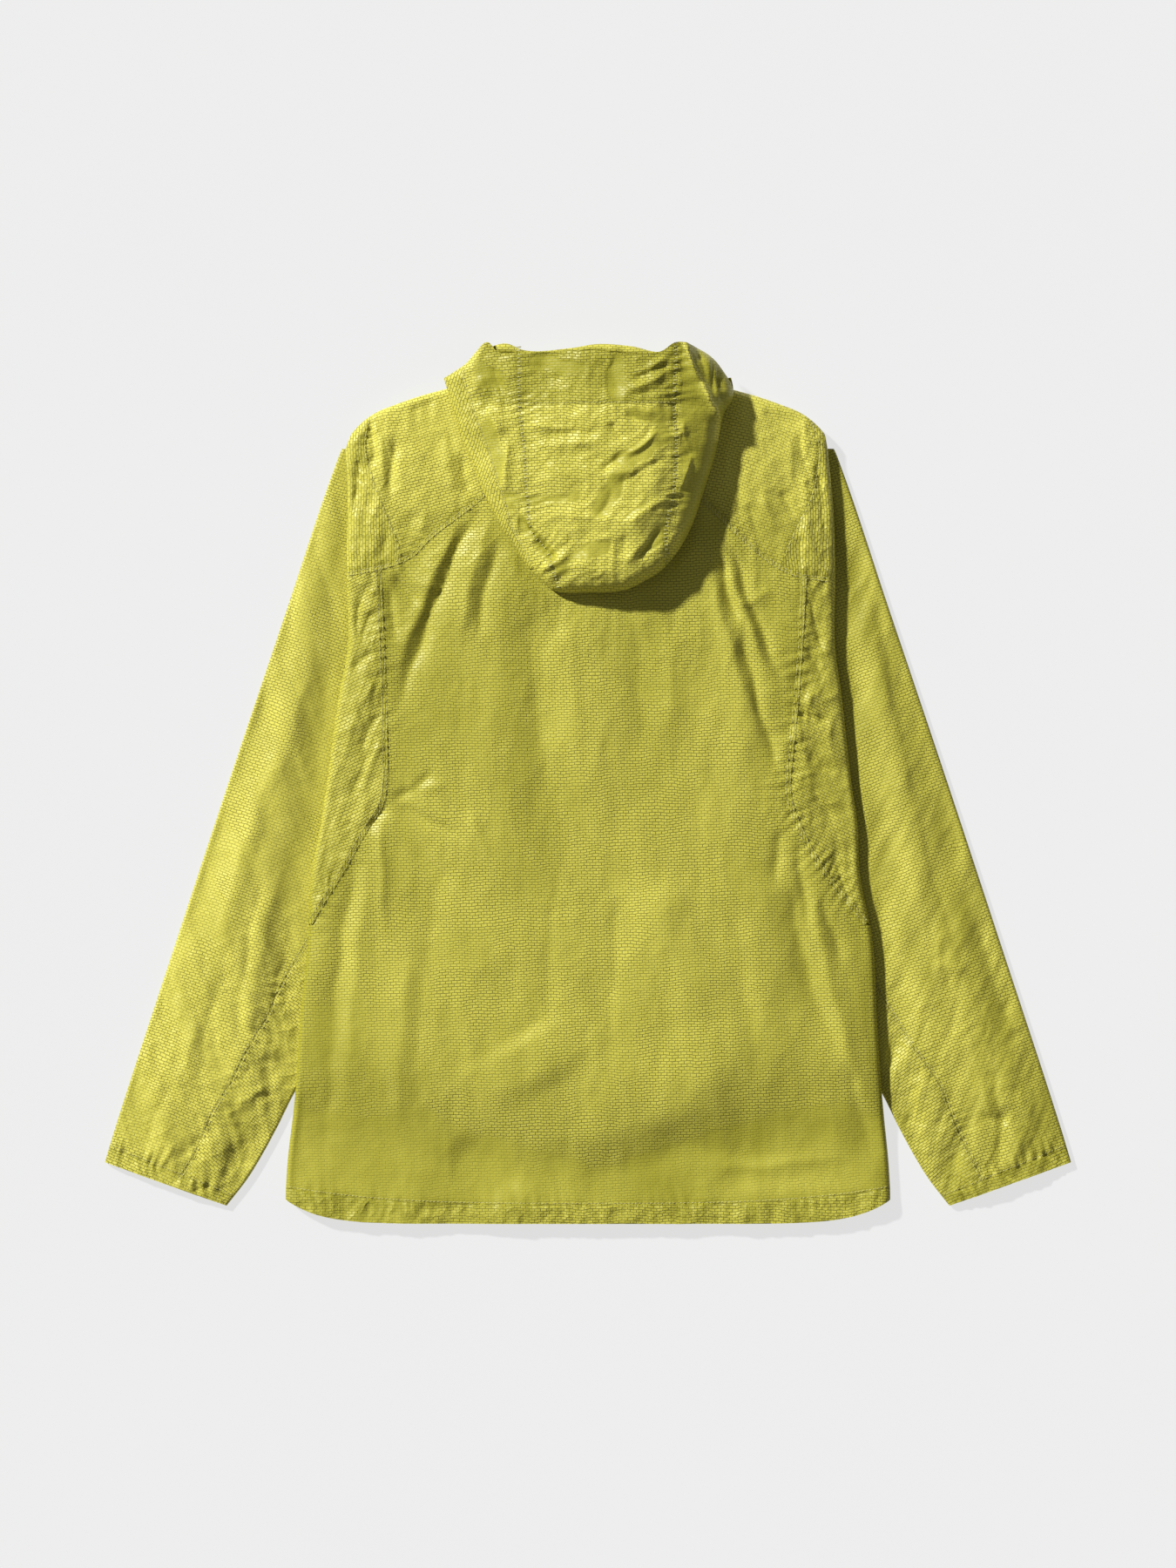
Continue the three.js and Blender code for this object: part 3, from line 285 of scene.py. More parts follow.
YOKE_CREASES = rows(
    CREASE,
    # Left yoke
    (-187, 318, -184, 268, 3, 5, -4, 0), (-193.5, 286, -207, 198, 3, 5, -2.8, 2),
    (-166, 300, -170, 236, 4, 6, -3.8, 1), (-176, 306, -177, 240, 4, 4, 2.4, 0),
    (-109, 288, -99, 244, 6, 8, -4, 2), (-122, 300, -112, 244, 7, 6, 1.8, 2),
    (-147, 234, -157, 212, 6, 8, -2.4, 1), (-136, 240, -146, 214, 5, 5, 1.8, 1),
    (-150, 296, -152, 250, 7, 7, 1.2, 0), (-156, 322, -128, 333, 4, 5, -1.4, 2),
    (-197, 236, -199, 190, 4, 4, 1.6, 1), (-172, 226, -176, 192, 4, 4, -2, 1),
    # Right yoke
    (183, 303, 187.5, 266, 4, 5, -3.4, 0), (172, 300, 176, 258, 4, 5, 1.8, 0),
    (140, 242, 146, 204, 4, 5, -3, 1), (166, 254, 178, 228, 4, 4, -2.6, 1),
    (152, 250, 160, 214, 5, 5, 2, 1), (128, 262, 132, 224, 6, 6, -1.6, 2),
    (196, 286, 207, 208, 4, 5, -2.2, 1), (188, 236, 196, 186, 4, 5, 1.8, 1),
    (150, 322, 176, 310, 4, 5, -1.6, 1), (180, 214, 184, 186, 3, 4, -2.2, 0),
    (118, 300, 112, 262, 7, 8, 1.2, 0),
)
HOOD_CREASES = rows(
    CREASE,
    # Right half of the crown
    (8, 269, 33, 283, 3, 4, -2.6, 1), (31, 281, 62, 306, 2.5, 5, 3, 2), (31, 276, 60, 299, 5, 5, -1.7, 2),
    (20, 256, 72, 284, 4, 6, -2.3, 3), (6, 227, 21, 256, 4, 7, -2.2, 2), (14, 268, 44, 268, 5, 6, 2.2, 2),
    (27, 221, 71, 251, 6, 8, 3, 3), (40, 189, 66, 224, 6, 6, -3.2, 2), (28, 186, 54, 216, 5, 5, 2.2, 2),
    # Left of the foot
    (-43, 212, -27, 190, 3.5, 5, -3, 1), (-72, 244, -39, 209, 4, 5, -2.6, 2),
    (-60, 236, -32, 206, 4, 4, 2, 2),
    # Brim
    (38, 351, 72, 369, 4, 5, 2.2, 2), (31, 337, 72, 355, 4, 4, 2, 2), (34, 345, 72, 362, 3.5, 4, -2.2, 2),
    (30, 331, 70, 345, 3.5, 4, -1.8, 2), (19, 368, 26, 327, 10, 12, -2.4, 0),
    (-44, 366, -16, 345, 9, 9, -1.4, 4),
    # Below the cross seam
    (-52, 307, -8, 306, 3, 4, 1.9, 1), (-50, 300, 20, 299, 3.5, 4, -1.4, -1),
    (-50, 292, 12, 291, 3, 4, 1.3, 1), (20, 311, 31, 293, 3, 4, -2.4, 1),
    (28, 318, 66, 302, 4, 5, -2.2, 1), (33, 326, 60, 314, 4, 4, 1.6, 1),
    # Left side panel
    (-86, 323, -71, 298, 4, 5, 2.4, 1), (-71, 298, -70, 245, 4, 5, 2.4, -2),
    (-70, 245, -52, 222, 4, 4, 2, 1), (-96, 340, -80, 322, 5, 7, -2.4, 1),
    (-92, 352, -88, 330, 4, 7, 2, 0), (-80, 360, -74, 330, 4, 5, -2, 1),
    # Pleats at the right corner
    (80, 382, 99, 336, 2, 3, 3.4, 0), (96, 346, 109, 312, 2, 3, 3.2, 0),
    (92, 372, 104, 344, 2.6, 3, -1.6, 0), (106, 322, 113, 310, 2, 3, 2.2, 0),
    (113, 362, 115.5, 316, 1.7, 2.0, -3.4, 0), (119, 356, 118.5, 322, 1.6, 1.8, -3.0, 0),
    (116, 360, 117, 322, 1.5, 1.6, 2.4, 0), (105, 366, 110, 326, 2, 2.4, -1.8, 0),
    # Right side panel and foot
    (81, 313, 91, 284, 4, 5, 2.2, 3), (91, 284, 79, 245, 4, 5, 2.2, 3), (82, 300, 96, 268, 5, 8, -1.6, 2),
    (-43, 186, -14, 197, 4, 6, 2.6, 2), (-14, 197, 22, 179, 5, 7, 2.2, 3),
    (-20, 214, 2, 196, 5, 6, -1.8, 2), (-16, 240, -4, 210, 6, 8, 1.4, 2),
    (30, 215, 36, 180, 6, 6, -1.6, 2), (-104, 306, -86, 262, 6, 6, -1.2, 2),
    (-36, 276, -8, 262, 5, 6, 1.6, 3), (-10, 292, 18, 272, 6, 7, -1.6, 2),
)
SLEEVE_CREASES = rows(
    CREASE,
    # Left sleeve, from the shoulder to the cuff
    (-246, 60, -300, -130, 9, 12, -1.8, 4), (-262, 40, -322, -150, 8, 8, 1.8, 4),
    (-236, 110, -268, -20, 7, 9, 1.6, 3), (-276, -60, -304, -240, 5, 8, -2.4, 4),
    (-262, -60, -292, -225, 6, 8, 1.8, 4), (-258, -150, -274, -200, 4, 5, -2.2, 2),
    (-312, -160, -336, -280, 8, 9, -1.8, 6), (-330, -190, -350, -290, 7, 8, 1.6, 5),
    (-355, -250, -382, -322, 8, 7, -2, 3), (-290, -238, -300, -290, 5, 6, -2, 3),
    (-278, -232, -268, -262, 3.5, 4, -1.5, 2), (-284, -222, -262, -236, 4, 4, 2.2, 2),
    (-300, -262, -268, -270, 4, 5, -2.0, 3), (-306, -276, -272, -256, 4, 5, 2.6, 2),
    (-312, -282, -298, -334, 4, 5, -1.8, 3), (-326, -300, -312, -350, 5, 5, 2, 2),
    (-356, -322, -330, -300, 4, 6, -1.8, 3), (-368, -328, -352, -306, 5, 5, 2, 1),
    (-400, -312, -388, -332, 3, 4, -2.4, 0), (-376, -318, -362, -340, 3, 4, -2.4, 1),
    (-346, -352, -322, -342, 3, 3, -2, 1), (-262, -176, -250, -196, 3, 3, -2.2, 1),
    (-256, -206, -246, -224, 3, 4, 2, 1), (-292, -200, -268, -226, 4, 5, -2, 2),
    # Right sleeve, from the shoulder to the cuff
    (250, 160, 292, -40, 8, 11, -2.6, 4), (236, 200, 268, 30, 6, 8, 1.8, 3),
    (262, 80, 306, -120, 7, 8, 1.8, 4), (284, -20, 330, -170, 7, 9, -3, 5),
    (306, -130, 318, -190, 6, 7, -2.6, 3), (296, -150, 330, -160, 5, 6, 2.2, 3),
    (332, -100, 372, -230, 7, 9, -2.6, 3), (322, -190, 342, -260, 7, 7, 1.8, 3),
    (300, -190, 284, -236, 5, 7, -2.2, 3), (350, -240, 362, -300, 6, 8, -3.2, 3),
    (338, -250, 352, -296, 6, 6, 2.2, 2), (366, -262, 392, -300, 6, 7, 2, 2),
    (364, -276, 350, -340, 5, 6, -3.4, 2), (378, -300, 362, -336, 5, 5, 2.4, 2),
    (334, -282, 366, -288, 4, 5, -2.2, 3), (300, -250, 282, -286, 6, 7, 1.8, 3),
    (318, -262, 296, -320, 5, 6, -2.4, 3), (312, -318, 330, -352, 4, 5, -2.4, 2),
    (340, -322, 372, -344, 3, 4, -2.2, 2), (384, -318, 404, -318, 3, 3, -2.4, 1),
    (262, -130, 256, -190, 4, 6, -1.6, 2),
)


def clamp(t):
    return np.clip(t, 0.0, 1.0)


def smooth(t):
    """3t² - 2t³ between 0 and 1."""
    return clamp(t) ** 2 * (3 - 2 * clamp(t))


def mix(a, b, t):
    return a + (b - a) * t


def level(line, at):
    """A curve's value at one place."""
    return float(line(np.array(at)))


def curve(table, key, name):
    """A cubic Hermite curve through a table's rows, with the mean of the neighbouring slopes at each row."""
    order = np.argsort(table[key])
    at, to = table[key][order], table[name][order]
    rise = np.diff(to) / np.diff(at)
    slope = np.concatenate([rise[:1], (rise[:-1] + rise[1:]) / 2, rise[-1:]])

    def value(x):
        t = np.clip(x, at[0], at[-1])
        k = np.clip(np.searchsorted(at, t, side="right") - 1, 0, len(at) - 2)
        width = at[k + 1] - at[k]
        s = (t - at[k]) / width
        first = to[k] * (1 + 2 * s) * (1 - s) ** 2 + slope[k] * width * s * (1 - s) ** 2
        return first + to[k + 1] * s * s * (3 - 2 * s) - slope[k + 1] * width * s * s * (1 - s)

    return value


def square_to(line):
    """Turns a distance along one axis into the distance square to the line: the cosine of its slope."""
    return lambda v: 1 / np.hypot(1, (line(v + 2) - line(v - 2)) / 4)


def both(table, key):
    return {name: curve(table, key, name) for name, _ in SIDES}


side_fold, side_seam, yoke_seam = both(SIDE_FOLDS, "y"), both(SIDE_SEAM, "y"), both(YOKE_SEAM, "x")
armhole, sleeve_seam = both(ARMHOLE, "y"), both(SLEEVE_SEAM, "y")
hood_side, hood_seam = both(HOOD_SIDES, "y"), both(HOOD_SEAMS, "y")
shoulder = curve(SHOULDER, "x", "y")
sleeve_outer = curve(SLEEVE_OUTER, "y", "x")
sleeve_inner = curve(SLEEVE_INNER, "y", "x")
hood_bottom = curve(HOOD_BOTTOM, "x", "y")
hood_top = curve(HOOD_TOP, "x", "y")
hood_band_width = curve(HOOD_BAND_WIDTH, "y", "width")
collar_top = curve(COLLAR_TOP, "x", "y")
square_shoulder, square_bottom, square_top = square_to(shoulder), square_to(hood_bottom), square_to(hood_top)
square_outer, square_inner = square_to(sleeve_outer), square_to(sleeve_inner)
square_hood = {name: square_to(hood_side[name]) for name, _ in SIDES}


def hem_edge(x):
    return HEM_Y + 22 * np.abs(x / HEM_HALF) ** 9


def hem_seam(x):
    return HEM_SEAM_Y + 15 * np.abs(x / HEM_HALF) ** 3.3


def neckline(x):
    return NECK_Y + 84 * np.abs(x / NECK_POINT[0]) ** 2.2


def by_side(lines, x, v):
    return np.where(x < 0, lines["left"](v), lines["right"](v))


def roll(inset, radius):
    """A quarter of a round: 0 at the fold and 1 from the radius inwards."""
    return np.sqrt(np.maximum(0, 1 - (1 - clamp(inset / radius)) ** 2))


# Distances inwards from the folded edges
def body_inset(x, y):
    side = by_side(side_fold, x, y) - np.abs(x)
    return np.minimum(side, (shoulder(np.abs(x)) - y) * square_shoulder(np.abs(x)))


def sleeve_inset(x, y):
    outer = (sleeve_outer(y) - np.abs(x)) * square_outer(y)
    return np.minimum(outer, (np.abs(x) - sleeve_inner(y)) * square_inner(y))


def hood_inset(x, y):
    left = (x - hood_side["left"](y)) * square_hood["left"](y)
    right = (hood_side["right"](y) - x) * square_hood["right"](y)
    return np.minimum(np.minimum(left, right), (y - hood_bottom(x)) * square_bottom(x))


def hood_upper_inset(x, y):
    top = (hood_top(x) - y) * square_top(x) + 30 * smooth((95 - np.abs(x)) / 30)
    return np.minimum(hood_inset(x, y), top)


def collar_inset(x, y):
    return collar_top(x) - y


def lift_at(y, start=SLEEVE_LEAVES_Y, run=36):
    """How far the body lies up on the sleeve under it."""
    return BODY_LIFT * (1 - smooth((start - y) / run))


def body_crest(x, y):
    return BODY_FOLD + lift_at(y) * smooth((np.abs(x) - 90) / 80)


def bulge_foot(x):
    """Where the back comes down towards the hem: lowest in the middle, as a hanging chain is."""
    return -330 + 46 * smooth(np.abs(x + 4) / 170)


def back_height(x, y):
    """Fold height plus a puff that grows inwards as 1 - e^(-inset / reach) and falls towards the hem."""
    inset = np.maximum(0, body_inset(x, y))
    run = mix(44, 150, smooth((np.abs(x - 20) - 40) / 130))
    fall = mix(0.15, 1, smooth((y - bulge_foot(x) + 0.3 * run) / run))
    puff = BODY_PUFF * (1 - np.exp(-inset / PUFF_REACH)) * fall
    return 2 * BODY_FOLD + lift_at(y, SLEEVE_LEAVES_Y + 20, 84) + puff


def front_height(x, y):
    return lift_at(y) * smooth((np.abs(x) - sleeve_inner(y) + LIFT_CLEAR + LIFT_RUN) / LIFT_RUN)


def sleeve_hidden(x, y):
    """Width of a sleeve's inner edge that lies under the body."""
    return np.maximum(0, by_side(side_fold, x, y) - sleeve_inner(y))


def sleeve_height(x, y):
    inner = np.abs(x) - sleeve_inner(y)
    outer = sleeve_outer(y) - np.abs(x)
    puff = mix(CUFF_PUFF, SLEEVE_PUFF, smooth((y + 360) / 120))
    clear = smooth((inner - sleeve_hidden(x, y) - PUFF_CLEAR) / 40)
    return 2 * SLEEVE_FOLD + puff * clear * smooth(outer / 45)


def hood_turn(x):
    return smooth((x + 60) / 120)


def hood_fold(x, y):
    return mix(*HOOD_FOLDS, hood_turn(x))


def hood_base(x, y):
    return back_height(x, y) + LAY_GAP


def hood_crest(x, y):
    return hood_base(x, y) + mix(3, 12, hood_turn(x))


def hood_height(x, y):
    puff = HOOD_PUFF * (1 - np.exp(-np.maximum(0, hood_inset(x, y)) / HOOD_REACH))
    return hood_crest(x, y) + hood_fold(x, y) + puff


# Relief: creases, crinkles and gathers
NOISE_SIDE = 64
NOISE = [np.random.default_rng(seed).uniform(-1, 1, (NOISE_SIDE, NOISE_SIDE)) for seed in range(8)]


def noise(x, y, size, seed):
    """Random values at the corners of a grid of that size, blended between them by 6t⁵ - 15t⁴ + 10t³."""
    u, v = x / size + 7.3 * seed, y / size + 3.1 * seed
    i, j = np.floor(u).astype(int), np.floor(v).astype(int)
    s, t = u - i, v - j
    s, t = s ** 3 * (s * (6 * s - 15) + 10), t ** 3 * (t * (6 * t - 15) + 10)
    values = NOISE[seed % len(NOISE)]
    a, b = values[i % NOISE_SIDE, j % NOISE_SIDE], values[(i + 1) % NOISE_SIDE, j % NOISE_SIDE]
    c, d = values[i % NOISE_SIDE, (j + 1) % NOISE_SIDE], values[(i + 1) % NOISE_SIDE, (j + 1) % NOISE_SIDE]
    return mix(mix(a, b, s), mix(c, d, s), t)


def warped(x, y, size, seed):
    """Places pushed about by smooth noise, so that what is drawn there wavers."""
    push, wave = size * 0.6, size * 1.7
    return x + push * noise(x, y, wave, seed + 1), y + push * noise(x, y, wave, seed + 2)


def waves(x, y, *layers):
    """Layers of smooth noise together, each with its amount, share of y, size and seed."""
    return sum(amount * noise(x, y * share, size, seed) for amount, share, size, seed in layers)


def along_sleeve(x, y):
    """x with the sleeves' slant taken out, so that what follows it runs down them."""
    return np.where(x < 0, x + SLEEVE_SLANT * y, x - SLEEVE_SLANT * y)


def crinkle(x, y, size, seed):
    """Small sharp creases in two sizes: 1 - 2|n| of smooth noise n, with a crest where n changes sign."""
    wx, wy = warped(x, y, size, seed)
    large = 1 - 2 * np.sqrt(noise(wx, wy, size, seed) ** 2 + 0.001)
    small = 1 - 2 * np.sqrt(noise(wx, wy, size * 0.45, seed + 3) ** 2 + 0.002)
    return 0.7 * large + 0.3 * small


def folds_at(x, y, size, seed):
    """Three sizes of crinkle together."""
    large, middle = crinkle(x, y, size, seed), crinkle(x, y, size * 0.42, seed + 4)
    return 1.5 * large + 0.9 * middle + 0.4 * noise(x, y, size / 5, seed + 1)


def creases_at(table, x, y):
    """Each crease is height e^(-(d / width)^1.3) over the distance d to a bowed line, wider on one side."""
    height = np.zeros_like(x)
    for x0, y0, x1, y1, before, after, rise, bow in zip(*table.values()):
        run = math.hypot(x1 - x0, y1 - y0)
        along = ((x - x0) * (x1 - x0) + (y - y0) * (y1 - y0)) / run ** 2
        near = (along > -0.05) & (along < 1.05)
        t = along[near]
        aside = ((x[near] - x0) * (y1 - y0) - (y[near] - y0) * (x1 - x0)) / run
        aside = aside - bow * 4 * t * (1 - t) - 1.2 * np.sin(t * run / 9 + x0)
        width = np.where(aside < 0, before, after)
        share = smooth(t / 0.25) * smooth((1 - t) / 0.35)
        height[near] += 1.25 * rise * share * np.exp(-(np.abs(aside / width) ** 1.3))
    return height


def path_length(path):
    return np.concatenate([[0], np.cumsum(np.linalg.norm(np.diff(path, axis=0), axis=1))])


def nearest(path, x, y):
    """Distance from each place to a path, and how far along it the nearest point is."""
    length = path_length(path)
    best, where, side = np.full(x.shape, 1e9), np.zeros_like(x), np.zeros_like(x)
    for k in range(len(path) - 1):
        run = path[k + 1] - path[k]
        size = float(np.hypot(*run))
        t = clamp(((x - path[k, 0]) * run[0] + (y - path[k, 1]) * run[1]) / size ** 2)
        dx, dy = x - path[k, 0] - t * run[0], y - path[k, 1] - t * run[1]
        away = np.hypot(dx, dy)
        closer = away < best
        best = np.where(closer, away, best)
        where = np.where(closer, length[k] + t * size, where)
        side = np.where(closer, np.sign(run[0] * dy - run[1] * dx), side)
    return best, where, side


def gathers_at(seams, x, y):
    """Waves square to each seam, sin(2π s / wave) e^(-d / reach) with uneven s, and a dent at the thread."""
    height = np.zeros_like(x)
    for path, rise, reach, wave, seed in seams:
        away, along, side = nearest(path, x, y)
        uneven = along + 0.9 * wave * noise(along, away * 0.4, 1.8 * wave, seed) + 0.25 * side * away
        share = 0.55 + 0.45 * noise(along, 40.0 + 0 * along, 3 * wave, seed + 1)
        height += rise * share * np.sin(2 * np.pi * uneven / wave) * np.exp(-away / reach)
        height -= 0.3 * np.exp(-((away / 1.7) ** 2))
    return height


def along_y(line, y0, y1, count, sign=1):
    y = np.linspace(y0, y1, count + 1)
    return np.stack([sign * line(y), y], 1)


def along_x(line, x0, x1, count):
    x = np.linspace(x0, x1, count + 1)
    return np.stack([x, line(x)], 1)


def straight(a, b, count=1):
    t = np.linspace(0, 1, count + 1)[:, None]
    return np.array(a, float) * (1 - t) + np.array(b, float) * t


def joined(*parts):
    return np.concatenate([parts[0]] + [part[1:] for part in parts[1:]])


def mirrored(points, sign):
    return points * np.array([sign, 1.0])


def seam_paths():
    """Each stitched line by name, in the plan."""
    paths = {"hem": along_x(hem_seam, -258, 258, 60)}
    for name, sign in SIDES:
        yoke_end = level(yoke_seam[name], SIDE_SEAM[name][-1])
        paths[f"side_{name}"] = along_y(side_seam[name], -121, yoke_end, 44, sign)
        paths[f"yoke_{name}"] = mirrored(along_x(yoke_seam[name], 207, 50, 44), sign)
        paths[f"armhole_{name}"] = along_y(armhole[name], 196, 314, 22, sign)
        paths[f"sleeve_{name}"] = along_y(sleeve_seam[name], -340, -92, 34, sign)
        paths[f"cuff_{name}"] = mirrored(straight(CUFF_SEAM["inner"], CUFF_SEAM["outer"], 2), sign)
        paths[f"hood_{name}"] = along_y(hood_seam[name], HOOD_SEAM_FROM[name], 376, 34)
    paths["brim"] = straight((-58.5, BRIM_SEAM_Y), (74, BRIM_SEAM_Y), 2)
    paths["band"] = along_y(lambda y: hood_side["left"](y) + hood_band_width(y), 190, 356, 26)
    return paths


PATHS = seam_paths()
BODY_SEAMS = (
    [(PATHS[f"side_{n}"], 1.5, 11, 8.5, k) for k, (n, _) in enumerate(SIDES)]
    + [(PATHS[f"yoke_{n}"], 0.9, 9, 7, 2 + k) for k, (n, _) in enumerate(SIDES)]
    + [(PATHS[f"armhole_{n}"], 0.9, 9, 6.5, 4 + k) for k, (n, _) in enumerate(SIDES)]
    + [(PATHS["hem"], 0.7, 9, 10.5, 6)]
)
SLEEVE_SEAMS = (
    [(PATHS[f"sleeve_{n}"], 1.0, 12, 6.5, 1 + k) for k, (n, _) in enumerate(SIDES)]
    + [(PATHS[f"cuff_{n}"], 1.2, 10, 9, 3 + k) for k, (n, _) in enumerate(SIDES)]
)
HOOD_SEAM_WAVES = [
    (PATHS["hood_left"], 1.4, 13, 8, 0), (PATHS["hood_right"], 1.3, 9, 8, 5),
    (PATHS["brim"], 0.5, 8, 9, 3), (PATHS["band"], 0.3, 5, 9, 2),
]


# How crumpled each form is, from smooth at 0
def body_rough(x, y):
    past = np.abs(x) - by_side(side_seam, x, np.clip(y, -121, 187)) + 4
    panel = smooth(past / 8) * smooth((y + 150) / 40)
    hem = smooth((hem_seam(x) - y + 1) / 3)
    return 0.13 + 0.15 * smooth((y - 20) / 160) + 0.1 * smooth((y - 175) / 30) + 0.5 * panel + 0.6 * hem


def sleeve_rough(x, y):
    inner = np.abs(x) - by_side(sleeve_seam, x, np.clip(y, -340, -90))
    return 0.2 + 0.2 * smooth((-60 - y) / 120) + 0.4 * smooth((14 - inner) / 30) * smooth((-70 - y) / 60)


def hood_rough(x, y):
    return mix(0.42, 0.15, hood_calm(x, y))


ROUGH_OF = {"back": body_rough, "sleeve_top": sleeve_rough, "hood": hood_rough}


def body_relief(x, y):
    inset = np.maximum(0, body_inset(x, y))
    bare = 1 - smooth((hood_inset(x, y) + 10) / 10)
    fine = LOOK["crinkle"] * body_rough(x, y) * folds_at(x, y * 0.7, 26, 0)
    wide = waves(x, y, (1.8, 0.45, 42, 2), (0.6, 0.5, 20, 5), (0.25, 0.4, 9, 7))
    creases = creases_at(BACK_CREASES, x, y) + 0.7 * creases_at(YOKE_CREASES, x, y)
    return (creases + fine + wide + LOOK["gather"] * gathers_at(BODY_SEAMS, x, y)) * smooth(inset / 9) * bare


def sleeve_relief(x, y):
    clear = smooth((np.abs(x) - sleeve_inner(y) - sleeve_hidden(x, y) - 1) / 12)
    edge = smooth((sleeve_outer(y) - np.abs(x)) / 10)
    slant = along_sleeve(x, y)
    fine = LOOK["crinkle"] * sleeve_rough(x, y) * folds_at(slant, y * 0.5, 22, 1)
    wide = waves(slant, y, (1.6, 0.22, 22, 3), (0.6, 0.28, 12, 6), (0.2, 0.3, 6, 7))
    creases = 0.62 * creases_at(SLEEVE_CREASES, x, y)
    return (creases + fine + wide + LOOK["gather"] * gathers_at(SLEEVE_SEAMS, x, y)) * clear * edge


def hood_relief(x, y):
    inset = smooth(np.maximum(0, hood_upper_inset(x, y)) / 9)
    fine = LOOK["crinkle"] * hood_rough(x, y) * folds_at(x, y, 22, 2)
    wide = waves(x, y, (1.4, 1, 30, 1), (0.5, 1, 12, 4))
    crisp = smooth(np.maximum(0, hood_upper_inset(x, y)) / 4)
    gathers = LOOK["gather"] * gathers_at(HOOD_SEAM_WAVES, x, y)
    return creases_at(HOOD_CREASES, x, y) * crisp + (fine + wide + gathers) * inset


def front_relief(x, y):
    """Hidden sides: shallow hollows only, so that nothing goes below the surface that the jacket lies on."""
    inset = np.maximum(0, body_inset(x, y))
    hollow = np.abs(noise(x, y * 0.5, 38, 4)) + 0.5 * np.abs(noise(x, y, 15, 7))
    return -0.9 * hollow * smooth(inset / 12) * smooth((np.abs(x) - 9) / 20)


def sleeve_under_relief(x, y):
    slant = along_sleeve(x, y)
    hollow = np.abs(noise(slant, y * 0.4, 26, 2)) + 0.5 * np.abs(noise(x, y, 12, 5))
    return -0.6 * hollow * smooth(np.maximum(0, sleeve_inset(x, y)) / 10)


def lip_relief(x, y):
    """A groove along the brim's edge, and small folds."""
    groove = np.exp(-(((y - hood_top(x) - 0.8) / 1.5) ** 2))
    return (0.8 * noise(x, y * 0.6, 9, 2) - 2.0 * groove) * smooth(collar_inset(x, y) / 3)


def no_relief(x, y):
    return np.zeros_like(x)


def always(value):
    return lambda x, y: np.full(np.shape(x), float(value))


# A form gives a wall's outer face over the plan: which way it looks, its inset from the fold, the fold's radius
# and crest, its height and its relief
SLEEVE_EDGE = (sleeve_inset, always(SLEEVE_FOLD), always(SLEEVE_FOLD))
FORMS = {
    "back": (1, body_inset, always(BODY_FOLD), body_crest, back_height, body_relief),
    "front": (-1, body_inset, always(BODY_FOLD), body_crest, front_height, front_relief),
    "sleeve_top": (1, *SLEEVE_EDGE, sleeve_height, sleeve_relief),
    "sleeve_under": (-1, *SLEEVE_EDGE, always(0), sleeve_under_relief),
    "hood": (1, hood_upper_inset, hood_fold, hood_crest, hood_height, hood_relief),
    "hood_under": (-1, hood_inset, hood_fold, hood_crest, hood_base, no_relief),
    "collar": (-1, collar_inset, always(COLLAR_FOLD), always(COLLAR_CREST), always(0), no_relief),
    "collar_lip": (1, collar_inset, always(COLLAR_LIP_FOLD), always(COLLAR_CREST), always(COLLAR_LIP_TOP),
                   lip_relief),
}


def gradient(field, x, y, step=0.8):
    across = (field(x + step, y) - field(x - step, y)) / (2 * step)
    return across, (field(x, y + step) - field(x, y - step)) / (2 * step)


def on_form(name, x, y, out=0.0):
    """The face over a place: crest + (height - crest) × roll, moved along the normal by relief and out."""
    up, inset_of, fold_of, crest_of, height_of, relief_of = FORMS[name]
    radius, inset = fold_of(x, y), inset_of(x, y)
    turn = roll(inset, radius)
    crest = crest_of(x, y) + up * SEAM_GAP / 2
    rise = height_of(x, y) - crest
    edge_x, edge_y = gradient(inset_of, x, y)
    tilt_x, tilt_y = gradient(height_of, x, y)
    flat = (1 - clamp(inset / radius)) / radius
    steep = up * turn / np.maximum(1, np.abs(rise))
    normal = np.stack([-edge_x * flat - tilt_x * steep, -edge_y * flat - tilt_y * steep, steep], -1)
    normal /= np.maximum(np.linalg.norm(normal, axis=-1, keepdims=True), 1e-9)
    points = np.stack([x, y, crest + rise * turn], -1)
    return points + normal * (relief_of(x, y) + out)[..., None]


# Fractions across a wall
def over_fold(radius):
    """Distances from a fold that follow its quarter round in even angles."""
    return radius * (1 - np.cos(np.linspace(0, np.pi / 2, 6)))


EDGE = np.zeros(1)


def across(width, from_start, count, from_end):
    """Distances in from each side as fractions of each row's width, and even steps between them."""
    reach = from_start.max() + from_end.max()
    squeeze = np.minimum(1, 0.7 * width / max(reach, 1e-6))[:, None]
    start = from_start * squeeze / width[:, None]
    end = 1 - (from_end * squeeze / width[:, None])[:, ::-1]
    t = np.linspace(0, 1, count + 1)[1:-1]
    middle = start[:, -1:] * (1 - t) + end[:, :1] * t
    return np.concatenate([start, middle, end], 1)


def plan(start, end, from_start, step, from_end, bottom=None, top=None):
    """Rows run straight between the two edges. The first and last follow the bottom and top curves, and the
    rows between take a share of that bend."""
    width = np.linalg.norm(end - start, axis=1)
    count = max(2, int(width.max() / step))
    u = across(np.maximum(width, 1e-3), from_start, count, from_end)
    grid = start[:, None] * (1 - u[..., None]) + end[:, None] * u[..., None]
    v = np.linspace(0, 1, len(start))[:, None, None]
    for bend, share, row in ((bottom, 1 - v, 0), (top, v, -1)):
        if bend is None:
            continue
        level = start[row] * (1 - u[..., None]) + end[row] * u[..., None]
        grid = grid + share * (bend(u) - level)
    return grid


def over_x(x0, x1, line):
    return lambda u: np.stack([mix(x0, x1, u), line(mix(x0, x1, u))], -1)


